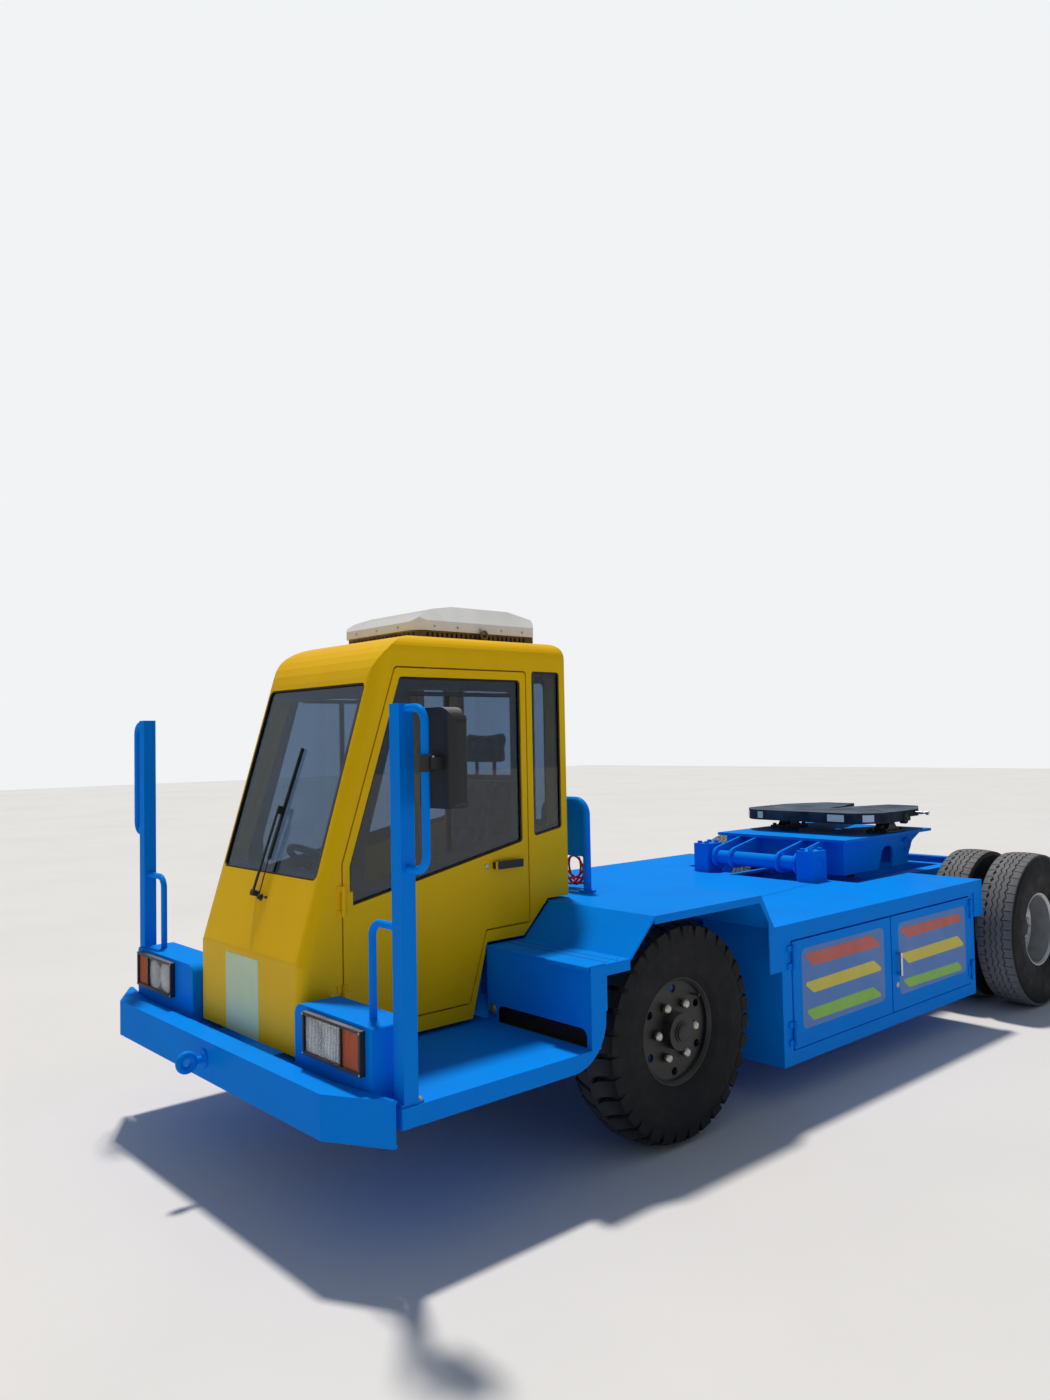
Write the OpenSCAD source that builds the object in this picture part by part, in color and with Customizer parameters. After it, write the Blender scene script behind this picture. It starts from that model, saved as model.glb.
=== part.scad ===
// Airport towing tractor with a narrow cab, two battery boxes and a lifting coupling plate.
// Millimetres. The front faces -Y, the vehicle's left is +X, +Z is up.
// Inside the modules y counts back from the bumper's front face.

/* [Overall] */
// Bumper face to the rear face of the rear beam
frame_len = 5310; // [5290:5:5400]
// Half of the body's width over platforms and boxes
half_w = 1004; // [985:1:1030]
// Sheet thickness of platforms, decks and boxes
sheet = 6; // [4:1:8]
// Gap round every door and lid
door_gap = 6; // [5:0.5:8]

/* [Levels above the ground] */
// Top of the side platforms
platform_z = 482; // [470:1:490]
// Top of the step behind each platform
step_z = 766; // [750:1:775]
// Top of the deck over the front wheels
deck_z = 900; // [895:1:915]
// Top of the rear deck
rear_deck_z = 757; // [745:1:765]
// Top of the frame rails
rail_top_z = 705; // [690:1:712]
// Underside of the battery boxes
box_bottom_z = 162; // [140:1:190]

/* [Bumper and platforms] */
// Half width of the bumper's straight front
bumper_front_half = 794; // [760:1:820]
// How far the bumper's ends sweep back
bumper_sweep = 120; // [90:1:140]
// Height of the bumper channel
bumper_h = 138; // [120:1:150]
// Top of the bumper
bumper_top_z = 513; // [500:1:530]
// Depth of the bumper's flanges
bumper_d = 88; // [70:1:95]
// Thickness of the bumper plate
bumper_t = 10; // [8:1:14]
// Depth of the platforms' edge flange
platform_flange = 62; // [50:1:80]
// Front edge of the platforms
platform_y = 152; // [145:1:170]
// Face of the riser behind each platform
riser_y = 960; // [940:1:980]
// Radius between platform edge and riser
riser_r = 100; // [60:5:130]

/* [Cab] */
// Width of the cab
cab_w = 784; // [760:2:810]
// Sideways offset of the cab's centre
cab_shift = 42; // [0:1:45]
// Front of the nose
cab_y = 144; // [140:1:160]
// Rear wall of the cab
cab_rear_y = 1402; // [1395:1:1425]
// Underside of the cab
cab_bottom_z = 500; // [490:1:506]
// Top of the roof
roof_z = 1961; // [1930:1:1990]
// Height where the nose leans back
nose_z = 812; // [800:1:830]
// Lean of the windscreen from upright, in degrees
screen_lean = 17.1; // [15:0.1:19]
// Thickness of the cab's walls and doors
wall = 34; // [28:1:40]
// Rounding along the roof sides
roof_r = 70; // [50:1:85]
// Rounding of the roof's front
roof_front_r = 230; // [180:5:260]

/* [Cab openings] */
// Front edge of each door
door_y0 = 313; // [305:1:325]
// Rear edge of each door
door_y1 = 1180; // [1170:1:1186]
// Lower edge of each door
door_z0 = 561; // [550:1:572]
// Upper edge of each door
door_z1 = 1832; // [1815:1:1838]
// Window frame width inside each door
door_rim = 27; // [22:1:36]
// Glass thickness
glass_t = 5; // [4:0.5:6]
// Lower edge of the windscreen along the slope
screen_z0 = 1085; // [1070:1:1110]
// Upper edge of the windscreen
screen_z1 = 1778; // [1760:1:1790]

/* [Roof unit] */
// Width of the cooling unit on the roof
ac_w = 540; // [500:2:580]
// Length of the cooling unit
ac_len = 630; // [600:2:660]
// Front of the cooling unit
ac_y = 728; // [715:1:740]
// Height of its louvred base
ac_base_h = 34; // [26:1:40]
// Height of its cover
ac_cover_h = 108; // [90:1:120]

/* [Corner posts] */
// Side of the square post tube
post_w = 52; // [48:1:54]
// Top of the posts
post_top_z = 1675; // [1640:1:1700]
// Distance of the post's centre from the vehicle's centre plane
post_x = 972; // [966:1:972]
// Diameter of the handle tubes
grip_d = 25; // [22:1:30]
// Reach of the upper handle beside the post
grip_reach = 92; // [80:1:105]
// Lower end of the upper handle
grip_z0 = 1180; // [1150:1:1220]

/* [Lamps] */
// Height of each lamp box above the platform
lamp_box_h = 220; // [205:1:235]
// Depth of each lamp box
lamp_box_d = 150; // [130:1:170]

/* [Wheels] */
// Outer radius of every tyre
tyre_r = 428; // [415:1:435]
// Width of every tyre
tyre_w = 214; // [200:1:225]
// Radius over the rim's flanges
rim_r = 225; // [215:1:230]
// Front axle's distance from the bumper face
front_axle_y = 1488; // [1484:1:1494]
// Rear axle's distance from the frame's rear end
rear_overhang = 810; // [770:5:830]
// Front wheels' centre plane from the vehicle's centre plane
front_track_half = 860; // [850:1:868]
// Kingpins' distance from the vehicle's centre plane
kingpin_x = 765; // [755:1:772]
// Centre of the twin wheels from the vehicle's centre plane
rear_track_half = 870; // [860:1:885]
// Distance between twin tyres' centre planes
twin_pitch = 280; // [270:1:290]

/* [Frame] */
// Outer face of each frame rail
rail_x = 410; // [395:1:420]
// Width of the rail's flanges
rail_w = 80; // [70:1:90]
// Height of the rails
rail_h = 150; // [140:1:160]
// Thickness of the rails
rail_t = 8; // [6:1:10]

/* [Battery boxes] */
// Front wall of the battery boxes
box_y0 = 2097; // [2085:1:2115]
// Rear wall of the battery boxes, ahead of the rear axle
box_to_axle = 624; // [600:1:650]
// Inner wall of the battery boxes
box_x0 = 583; // [560:1:600]
// Height of a box door
box_door_h = 452; // [430:1:460]
// Bottom edge of the box doors
box_door_z = 226; // [215:1:240]
// Thickness of a box door
box_door_t = 22; // [18:1:26]
// Overlap of the deck's skirt down the boxes
skirt_h = 62; // [50:1:66]

/* [Lifting coupling plate] */
// Pivot shaft's distance ahead of the rear axle
pivot_to_axle = 1156; // [1145:1:1170]
// Pivot shaft's height
pivot_z = 846; // [840:1:855]
// Diameter of the pivot tube
pivot_d = 76; // [68:1:84]
// Bearing blocks' inner faces from the centre plane
block_x0 = 302; // [295:1:310]
// Width of a bearing block
block_w = 103; // [95:1:108]
// Length of a bearing block
block_len = 138; // [130:1:145]
// Top of the bearing blocks
block_top_z = 923; // [915:1:930]
// Front edge of the lifting table behind the pivot shaft
table_gap = 207; // [200:1:220]
// Length of the lifting table
table_len = 1004; // [970:1:1030]
// Half width of the lifting table
table_half_w = 438; // [425:1:445]
// Top of the lifting table
table_z = 965; // [955:1:972]
// Plate thickness of the lifting table
table_t = 16; // [12:1:18]
// Coupling plate's bearing axis ahead of the rear axle
plate_to_axle = 320; // [300:1:350]
// Top of the coupling plate
plate_top_z = 1097; // [1090:1:1104]
// Half width of the coupling plate
plate_half_w = 470; // [455:1:480]
// Radius of the king pin's bore
king_bore_r = 26; // [25.5:0.1:27]

/* [Hidden] */
$fn = 48;

paint = "dodgerblue";
cab_paint = "gold";
black = "#1c1c1e";
tow_reach = 104;
lamp_t = 25;
seat_gap = 0.3;
small = 0.01;
lean = tan(screen_lean);
axle_z = tyre_r;
rear_axle_y = frame_len - rear_overhang;
box_y1 = rear_axle_y - box_to_axle;
pivot_y = rear_axle_y - pivot_to_axle;
table_y0 = pivot_y + table_gap;
table_y1 = table_y0 + table_len;
plate_y = rear_axle_y - plate_to_axle;
grip_x = post_x + post_w / 2 + grip_reach;
mirror_x = grip_x + 75;
tyre_x = rear_track_half + twin_pitch / 2 + tyre_w / 2;

// The origin lies on the ground in the middle of the overall length and width.
y_mid = (frame_len + lamp_t + seat_gap - tow_reach) / 2;
x_mid = (mirror_x - tyre_x) / 2;

// Everything is modelled from the bumper face and the vehicle's centre plane, then shifted to the origin.
module placed() {
    translate([-x_mid, -y_mid, 0])
        children();
}

// Box between two corners.
module block(lo, hi) {
    translate(lo)
        cube(hi - lo);
}

// Cylinder along X with its centre at p.
module rod_x(p, r, l) {
    translate(p)
        rotate([0, 90, 0])
            cylinder(r = r, h = l, center = true);
}

// Plate in the YZ plane, from x to x + t, with its outline given as [y, z] points.
module side_plate(x, t, points) {
    translate([x, 0, 0])
        rotate([90, 0, 90])
            linear_extrude(t)
                polygon(points);
}

// Copies for the left (side = 1) and right (side = -1) of the vehicle.
module on_side(side) {
    if (side > 0)
        children();
    else
        mirror([1, 0, 0])
            children();
}

module both_sides() {
    on_side(1) children();
    on_side(-1) children();
}

// Copies for the left and right of the cab, whose centre plane lies beside the vehicle's.
module on_cab_side(side) {
    translate([cab_shift, 0, 0])
        on_side(side)
            children();
}

// Outline with rounded corners: each point is [x, y, radius].
function unit(v) = v / norm(v);
function corner_arc(a, b, c, r, n = 8) =
    r <= 0 ? [b] :
    let (u = unit(a - b), v = unit(c - b), half = acos(u * v) / 2,
         reach = r / tan(half), mid = unit(u + v), o = b + mid * r / sin(half),
         p = b + u * reach, q = b + v * reach,
         a0 = atan2(p[1] - o[1], p[0] - o[0]), a1 = atan2(q[1] - o[1], q[0] - o[0]),
         turn = a1 - a0 > 180 ? a1 - a0 - 360 : a1 - a0 < -180 ? a1 - a0 + 360 : a1 - a0)
    [for (i = [0:n]) o + r * [cos(a0 + turn * i / n), sin(a0 + turn * i / n)]];
function rounded(points) =
    let (n = len(points))
    [for (i = [0:n - 1])
        let (a = points[(i + n - 1) % n], b = points[i], c = points[(i + 1) % n])
        each corner_arc([a[0], a[1]], [b[0], b[1]], [c[0], c[1]], b[2])];

// Leaf of a door hinge on the moving side: barrel round (x, y) and a leaf to y + reach on the face at x_face
hinge_r = 8;
module hinge_knuckle(x, y, z, h, x_face, reach) {
    translate([x, y, z])
        cylinder(r = hinge_r, h = h);
    block([x_face - small, min(y, y + reach), z], [x - hinge_r + 3, max(y, y + reach), z + h]);
}

// Body side of the same hinge: a knuckle above and one below
module hinge_body(x, y, z, h, x_face, reach) {
    for (e = [z - 24 - 0.3, z + h + 0.3])
        hinge_knuckle(x, y, e, 24, x_face, reach);
}

/* Frame */
horn_x = 300;
horn_w = 70;
horn_h = 84;
horn_top_z = platform_z - sheet;
kick_y = 1010;
rear_beam_d = 70;
rear_beam_half = half_w + 96;
beam_z0 = rail_top_z - rail_h;
anchor = [rear_axle_y - 480, 430];
eye = [rear_axle_y - 380, pivot_z - 14];
anchor_r = 20;
eye_r = 18;
cyl_x = 130;

module rail() {
    // Rear rail: a channel open towards the middle
    difference() {
        block([rail_x - rail_w, kick_y, beam_z0], [rail_x, frame_len - rear_beam_d, rail_top_z]);
        block([rail_x - rail_w - 1, kick_y + 10, beam_z0 + rail_t],
              [rail_x - rail_t, frame_len - rear_beam_d + 1, rail_top_z - rail_t]);
    }
    // Front horn at platform level, and the gusset that joins it to the rail
    block([horn_x - horn_w, bumper_t, horn_top_z - horn_h], [horn_x, kick_y + 90, horn_top_z]);
    side_plate(horn_x - 14, 14 + rail_x - rail_w - horn_x + small,
        [[kick_y - 45, horn_top_z - horn_h], [kick_y + 90, horn_top_z - horn_h],
         [kick_y + 330, beam_z0], [kick_y + 330, rail_top_z], [kick_y, rail_top_z], [kick_y - 45, horn_top_z]]);
}

// Cross members between the rails: [y, z of the underside, height]
cross_members = [[250, horn_top_z - horn_h, horn_h], [700, horn_top_z - horn_h, horn_h],
    [1180, beam_z0, rail_h], [2150, beam_z0, rail_h], [2900, beam_z0, rail_h],
    [pivot_y - 30, beam_z0, rail_h], [anchor[0] - 130, beam_z0, rail_h], [rear_axle_y + 350, beam_z0, rail_h]];

module chassis_frame() {
    color(paint) placed() {
        both_sides() {
            rail();
            // Bearers that carry the front deck
            for (y = [1320, 1880])
                block([rail_x - rail_w, y, rail_top_z - small], [rail_x, y + 60, deck_z - sheet]);
            // Bearers that carry the rear deck and the boxes
            for (y = [2180, 2900, pivot_y - 44])
                block([rail_x - rail_w, y, rail_top_z - small], [box_x0 - 1, y + 80, rear_deck_z - sheet]);
            for (y = [2180, box_y1 - 176])
                block([rail_x - small, y, beam_z0 + 20], [box_x0, y + 80, rail_top_z - 20]);
            // Corner gusset at the rear beam
            translate([rail_x, frame_len - rear_beam_d, rail_top_z - 8])
                linear_extrude(8)
                    polygon([[-rail_w, small], [-rail_w, -240], [0, -240], [120, small]]);
        }
        for (c = cross_members)
            block([-rail_x + rail_t, c[0], c[1]], [rail_x - rail_t, c[0] + 60, c[1] + c[2]]);
        // Cheeks below the cross member that anchor the lift cylinders
        both_sides()
            difference() {
                side_plate(230, 30, [[anchor[0] - 130, beam_z0 + small], [anchor[0] - 70, beam_z0 + small],
                    [anchor[0] + 40, anchor[1] + 40], [anchor[0] + 40, anchor[1] - 40],
                    [anchor[0] - 40, anchor[1] - 40], [anchor[0] - 130, beam_z0 - 60]]);
                rod_x([245, anchor[0], anchor[1]], anchor_r + 0.1, 40);
            }
        // Rear beam
        difference() {
            block([-rear_beam_half, frame_len - rear_beam_d, beam_z0], [rear_beam_half, frame_len, rail_top_z]);
            block([-rear_beam_half - 1, frame_len - rear_beam_d - 1, beam_z0 + rail_t],
                  [rear_beam_half + 1, frame_len - rail_t, rail_top_z - rail_t]);
        }
        // Webs that close the beam behind the rails
        both_sides()
            block([rail_x - rail_w, frame_len - rear_beam_d, beam_z0 + 1], [rail_x, frame_len - 1, rail_top_z - 1]);
    }
}

/* Bumper */
tow_ring_r = 40;
tow_ring_t = 13;
tow_z = 447;

module bumper() {
    color(paint) placed() {
        difference() {
            translate([0, 0, bumper_top_z - bumper_h])
                linear_extrude(bumper_h)
                    polygon([[-half_w, bumper_sweep + 14], [-half_w, bumper_sweep], [-bumper_front_half, 0],
                             [bumper_front_half, 0], [half_w, bumper_sweep], [half_w, bumper_sweep + 14],
                             [bumper_front_half - 60, bumper_d], [-bumper_front_half + 60, bumper_d]]);
            // Channel hollow, open at the back
            translate([0, 0, bumper_top_z - bumper_h + bumper_t])
                linear_extrude(bumper_h - 2 * bumper_t)
                    polygon([[-half_w - 1, bumper_sweep + 26], [-half_w - 1, bumper_sweep + bumper_t],
                             [-bumper_front_half, bumper_t], [bumper_front_half, bumper_t],
                             [half_w + 1, bumper_sweep + bumper_t], [half_w + 1, bumper_sweep + 26],
                             [bumper_front_half - 58, bumper_d + 1], [-bumper_front_half + 58, bumper_d + 1]]);
        }
        // Boss, shank and ring for towing
        translate([0, 0, tow_z])
            rotate([90, 0, 0])
                cylinder(r = 34, h = 6);
        translate([0, bumper_t, tow_z])
            rotate([90, 0, 0])
                cylinder(r = 13, h = bumper_t + tow_reach - 2 * tow_ring_r + 6);
        translate([0, -tow_reach + tow_ring_r, tow_z])
            rotate([0, 90, 0])
                difference() {
                    rotate_extrude()
                        translate([tow_ring_r - tow_ring_t, 0])
                            circle(r = tow_ring_t);
                    cylinder(r = tow_ring_r - 2 * tow_ring_t + 1, h = 40, center = true);
                }
    }
}

/* Side platforms */
step_y = riser_y - 12;
fender_y0 = front_axle_y - 338;
// Side face of the cab, measured from the centre plane on the given side
function cab_face(side) = cab_w / 2 + side * cab_shift;

// Platform with its edge flange, riser and step.
module platform(side) {
    flange_z = platform_z - platform_flange;
    x1 = cab_face(side) + 1;
    // Floor
    block([horn_x - 20, platform_y, platform_z - sheet], [half_w, riser_y, platform_z]);
    // Gutter that the floor forms behind the riser
    block([x1 + 30, riser_y - 1, platform_z - sheet], [half_w - sheet - 2, riser_y + 40, platform_z]);
    block([x1 + 30, riser_y + 34, platform_z - small], [half_w - sheet - 2, riser_y + 40, platform_z + 90]);
    // Front flange
    block([horn_x + seat_gap, platform_y, flange_z], [half_w, platform_y + sheet, platform_z]);
    // Outer strip: along the edge, round the corner and up the riser to the step
    side_plate(half_w - sheet, sheet, rounded([
        [platform_y, flange_z, 0], [riser_y + 60, flange_z, riser_r + 60],
        [riser_y + 60, platform_z + 120, 0], [riser_y + 68, platform_z + 126, 0], [riser_y + 68, step_z - 40, 0],
        [fender_y0, step_z - 40, 0], [fender_y0, step_z, 0], [step_y, step_z, 0],
        [step_y, platform_z - small, 0], [platform_y, platform_z - small, 0]]));
    // Riser with the slot at its foot
    difference() {
        block([x1, riser_y - sheet, platform_z - small], [half_w, riser_y, step_z]);
        translate([0, riser_y + 1, 0])
            rotate([90, 0, 0])
                linear_extrude(20)
                    polygon(rounded([[x1 + 60, platform_z - 1, 0], [half_w - 30, platform_z - 1, 0],
                        [half_w - 30, platform_z + 66, 30], [x1 + 60, platform_z + 66, 30]]));
    }
    // Tread of the step
    block([x1, step_y, step_z - sheet], [half_w, fender_y0, step_z]);
}

// Outline of the lamp box seen from the front, moved inwards by t
lamp_x1 = 900;
lamp_y0 = 118;
function lamp_outline(side, t) = rounded([
    [cab_face(side) + 5 + t, platform_z + t - small, 0], [lamp_x1 - t, platform_z + t - small, 0],
    [lamp_x1 - t, platform_z + lamp_box_h - t, 10], [cab_face(side) + 5 + t, platform_z + lamp_box_h - t, 40]]);

// Sheet box that carries the lamps, open at the back
module lamp_box(side) {
    translate([0, lamp_y0 + lamp_box_d, 0])
        rotate([90, 0, 0])
            difference() {
                linear_extrude(lamp_box_d)
                    polygon(lamp_outline(side, 0));
                translate([0, 0, -1])
                    linear_extrude(lamp_box_d - 3)
                        polygon(lamp_outline(side, 4));
            }
}

module side_platform(side) {
    color(paint) placed() on_side(side) {
        platform(side);
        lamp_box(side);
    }
}

module left_platform() { side_platform(1); }
module right_platform() { side_platform(-1); }

/* Deck */
deck_y0 = 1290;
deck_y1 = 1953;
slope_y1 = 2040;
deck_y2 = box_y1 + 99;
bay_y = pivot_y + 81;
bay_y0 = pivot_y - block_len / 2;
skirt_y0 = 2003;
skirt_z0 = 567;

module deck() {
    color(paint) placed() {
        // Plate over the front wheels
        block([-half_w, deck_y0, deck_z - sheet], [half_w, deck_y1, deck_z]);
        for (side = [-1, 1])
            on_side(side) {
                // Slanted fender between step and deck
                side_plate(cab_face(side) + 1, half_w - cab_face(side) - 1, [
                    [fender_y0 + seat_gap, step_z - sheet], [fender_y0 + seat_gap, step_z], [deck_y0, deck_z],
                    [deck_y0 + 6, deck_z - sheet], [fender_y0 + 6, step_z - sheet]]);
                // Edge strip of the deck
                block([half_w - sheet, deck_y0, deck_z - 30], [half_w, deck_y1, deck_z]);
            }
        // Slope down to the rear deck
        side_plate(-half_w, 2 * half_w, [
            [deck_y1 - small, deck_z], [slope_y1, rear_deck_z], [slope_y1, rear_deck_z - sheet],
            [slope_y1 - 4, rear_deck_z - sheet], [deck_y1 - 4, deck_z - sheet]]);
        // Rear deck with the open bay for the lifting table
        translate([0, 0, rear_deck_z - sheet])
            linear_extrude(sheet)
                polygon([[-half_w, slope_y1 - 2], [half_w, slope_y1 - 2], [half_w, deck_y2], [box_x0, deck_y2],
                         [box_x0, bay_y], [block_x0 - 8, bay_y], [block_x0 - 8, bay_y0], [8 - block_x0, bay_y0],
                         [8 - block_x0, bay_y], [-box_x0, bay_y], [-box_x0, deck_y2], [-half_w, deck_y2]]);
        both_sides() {
            // Side skirt: deep at both ends of the battery box, shallow over its doors
            side_plate(half_w - sheet, sheet, [
                [deck_y1 - 10, deck_z - 30], [deck_y1, deck_z - small], [slope_y1, rear_deck_z - small],
                [deck_y2, rear_deck_z - small], [deck_y2, skirt_z0], [box_y1, skirt_z0],
                [box_y1, rear_deck_z - skirt_h], [box_y0, rear_deck_z - skirt_h], [box_y0, skirt_z0],
                [skirt_y0, skirt_z0], [skirt_y0, deck_z - 120]]);
            // Rear skirt
            block([box_x0 + 100, deck_y2 - sheet, rear_deck_z - skirt_h], [half_w, deck_y2, rear_deck_z]);
        }
    }
}

/* Battery boxes */
box_top_z = rear_deck_z - sheet - seat_gap;
box_mid_y = (box_y0 + box_y1) / 2 + 8.5;
box_door_y = [box_y0 + 74, box_mid_y - 5, box_mid_y + 5, box_y1 - 59];
box_x1 = half_w - sheet - seat_gap;
box_face = box_x1 + 4;
box_hinge_x = box_face + hinge_r;
box_hinge_z = [270, 590];
box_hinge_h = 50;

module battery_box(side) {
    depth = box_door_t + 4;
    color(paint) placed() on_side(side) {
        difference() {
            block([box_x0, box_y0, box_bottom_z], [box_x1, box_y1, box_top_z]);
            block([box_x0 + sheet, box_y0 + sheet, box_bottom_z + sheet],
                  [box_x1 - depth, box_y1 - sheet, box_top_z - sheet]);
            block([box_x1 - depth - 1, box_door_y[0] - door_gap, box_door_z - door_gap],
                  [box_x1 + 1, box_door_y[3] + door_gap, box_door_z + box_door_h + door_gap]);
        }
        for (z = box_hinge_z) {
            hinge_body(box_hinge_x, box_door_y[0] - 3, z, box_hinge_h, box_x1, -34);
            hinge_body(box_hinge_x, box_door_y[3] + 3, z, box_hinge_h, box_x1, 34);
        }
    }
}

module left_battery_box() { battery_box(1); }
module right_battery_box() { battery_box(-1); }

module box_door(side, rear) {
    y0 = box_door_y[rear ? 2 : 0];
    y1 = box_door_y[rear ? 3 : 1];
    color(paint) placed() on_side(side) {
        difference() {
            block([box_face - box_door_t, y0, box_door_z], [box_face, y1, box_door_z + box_door_h]);
            // Folded edges round a sheet panel
            block([box_face - box_door_t - 1, y0 + 24, box_door_z + 24],
                  [box_face - 3, y1 - 24, box_door_z + box_door_h - 24]);
        }
        for (z = box_hinge_z)
            if (rear)
                hinge_knuckle(box_hinge_x, y1 + 3, z, box_hinge_h, box_face, -34);
            else
                hinge_knuckle(box_hinge_x, y0 - 3, z, box_hinge_h, box_face, 34);
        if (rear)
            // Pull handle beside the meeting edge
            bow_handle(box_face, y0 + 38, 395, 110);
    }
}

// Bow handle standing off a face at x, with feet at its two ends
module bow_handle(x, y, z, h) {
    difference() {
        block([x - small, y, z], [x + 26, y + 14, z + h]);
        block([x, y - 1, z + 14], [x + 16, y + 15, z + h - 14]);
    }
}

module left_front_box_door() { box_door(1, false); }
module left_rear_box_door() { box_door(1, true); }
module right_front_box_door() { box_door(-1, false); }
module right_rear_box_door() { box_door(-1, true); }

battery_h = 420;
battery_len = (box_y1 - box_y0 - 179) / 2;
battery_x1 = box_x1 - 65;
module batteries() {
    cell = battery_len / 8;
    top = box_bottom_z + battery_h;
    color("dimgray") placed() both_sides()
        for (y = [box_y0 + 60, box_y1 - 79 - battery_len])
            difference() {
                block([box_x0 + 30, y, box_bottom_z + sheet], [battery_x1, y + battery_len, top]);
                // Joints between the cells
                for (i = [1:7])
                    block([box_x0 + 29, y + i * cell - 2, top - 30], [battery_x1 + 1, y + i * cell + 2, top + 1]);
            }
}

/* Cab */
roof_y0 = cab_y + (roof_z - nose_z) * lean;
cab_x0 = -cab_w / 2;
cab_x1 = cab_w / 2;
arch_y0 = 880;
arch_y1 = 958;
arch_y2 = fender_y0;
arch_z = step_z + 12;
deck_seat_z = deck_z + 10;
cab_hinge_x = cab_x1 + 1 + hinge_r;
cab_hinge_y = door_y0 - 3;
cab_hinge_z = [640, 980];
cab_hinge_h = 60;

// Side outline of the cab, moved inwards by t.
function cab_side(t) = [
    [cab_y + t, cab_bottom_z + t, 8],
    [arch_y0 - t * 0.6, cab_bottom_z + t, 0],
    [arch_y1 - t * 0.6, arch_z + t, 0],
    [arch_y2 - t * 0.5, arch_z + t, 0],
    [deck_y0 - 6 - t * 0.5, deck_seat_z + t, 0],
    [cab_rear_y - t, deck_seat_z + t, 4],
    [cab_rear_y - t, roof_z - t, 40],
    [roof_y0 + t * (1 - lean), roof_z - t, roof_front_r - t],
    [cab_y + t, nose_z - t * 0.15, 60]];

// Solid form of the cab, each face moved inwards by t.
module cab_form(t) {
    intersection() {
        side_plate(cab_x0 + t, cab_w - 2 * t, rounded(cab_side(t)));
        // Rounded roof sides
        translate([0, cab_rear_y, 0])
            rotate([90, 0, 0])
                linear_extrude(cab_rear_y)
                    polygon(rounded([[cab_x0 + t, 300, 0], [cab_x1 - t, 300, 0],
                        [cab_x1 - t, roof_z - t, roof_r - t / 2], [cab_x0 + t, roof_z - t, roof_r - t / 2]]));
        // Rounded corners along the leaning front
        translate([0, cab_y, nose_z])
            rotate([-screen_lean, 0, 0])
                translate([0, 0, -600])
                    linear_extrude(2000)
                        polygon(rounded([[cab_x0 + t, t, 45 - t / 2], [cab_x1 - t, t, 45 - t / 2],
                            [cab_x1 - t, 1800, 0], [cab_x0 + t, 1800, 0]]));
        // Rounded corners of the upright nose
        translate([0, 0, 300])
            linear_extrude(2000)
                polygon(rounded([[cab_x0 + t, cab_y + t, 40 - t / 2], [cab_x1 - t, cab_y + t, 40 - t / 2],
                    [cab_x1 - t, cab_rear_y, 0], [cab_x0 + t, cab_rear_y, 0]]));
    }
}

// Outline of a cab door, moved inwards by t
function door_outline(t) = [
    [door_y0 + t, door_z0 + t, 10],
    [866 - 0.6 * t, door_z0 + t, 10],
    [954 - 0.6 * t, 827 + t, 10],
    [door_y1 - t, 830 + t, 10],
    [door_y1 - t, door_z1 - t, 14],
    [door_y0 + 231 + t * 0.7, door_z1 - t, 20],
    [door_y0 + t, 1138 - t * 0.2, 10]];

// Window in a cab door, moved inwards by t
function door_window(t) = [
    [door_y0 + door_rim + t, 988 + t, 16],
    [door_y1 - door_rim - t, 1152 + t, 16],
    [door_y1 - door_rim - t, door_z1 - door_rim - 5 - t, 16],
    [door_y0 + 250 + t * 0.7, door_z1 - door_rim - 5 - t, 16],
    [door_y0 + door_rim + t, 1128 - t * 0.2, 16]];

// Fixed window behind each door
function rear_window(t) = [
    [1215 + t, 1167 + t, 14], [1371 - t, 1193 + t, 14],
    [1371 - t, 1838 - t, 14], [1215 + t, 1838 - t, 14]];

screen_half_w = 352;
rear_glass_half_w = 300;

// Opening of the windscreen, moved inwards by t, as a prism through the leaning front
module screen_prism(t, depth0, depth1) {
    slope = (screen_z1 - screen_z0) / cos(screen_lean);
    translate([0, cab_y + (screen_z0 - nose_z) * lean, screen_z0])
        rotate([-screen_lean, 0, 0])
            translate([0, depth1, 0])
                rotate([90, 0, 0])
                    linear_extrude(depth1 - depth0)
                        polygon(rounded([[-screen_half_w + t, t, 24], [screen_half_w - t, t, 24],
                            [screen_half_w - t, slope - t, 24], [-screen_half_w + t, slope - t, 24]]));
}

// Opening in the rear wall
module rear_prism(t, y0, y1) {
    translate([0, y1, 0])
        rotate([90, 0, 0])
            linear_extrude(y1 - y0)
                polygon(rounded([[-rear_glass_half_w + t, 1190 + t, 30], [rear_glass_half_w - t, 1190 + t, 30],
                    [rear_glass_half_w - t, 1830 - t, 30], [-rear_glass_half_w + t, 1830 - t, 30]]));
}

module cab_shell() {
    color(cab_paint) placed() {
        translate([cab_shift, 0, 0]) {
            difference() {
                cab_form(0);
                cab_form(wall);
                side_plate(cab_x0 - 1, cab_w + 2, rounded(door_outline(-door_gap)));
                side_plate(cab_x0 - 1, cab_w + 2, rounded(rear_window(0)));
                screen_prism(0, -20, wall + 30);
                rear_prism(0, cab_rear_y - wall - 1, cab_rear_y + 1);
            }
            both_sides()
                for (z = cab_hinge_z)
                    hinge_body(cab_hinge_x, cab_hinge_y, z, cab_hinge_h, cab_x1, -24);
        }
        // Feet on the platforms and on the deck
        both_sides() {
            for (y = [200, 780])
                block([290, y, platform_z + seat_gap], [340, y + 80, cab_bottom_z + 4]);
            block([250, deck_y0 + 40, deck_z + seat_gap], [300, deck_y0 + 90, deck_seat_z + 4]);
        }
    }
}

glass_inset = 8;

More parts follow.
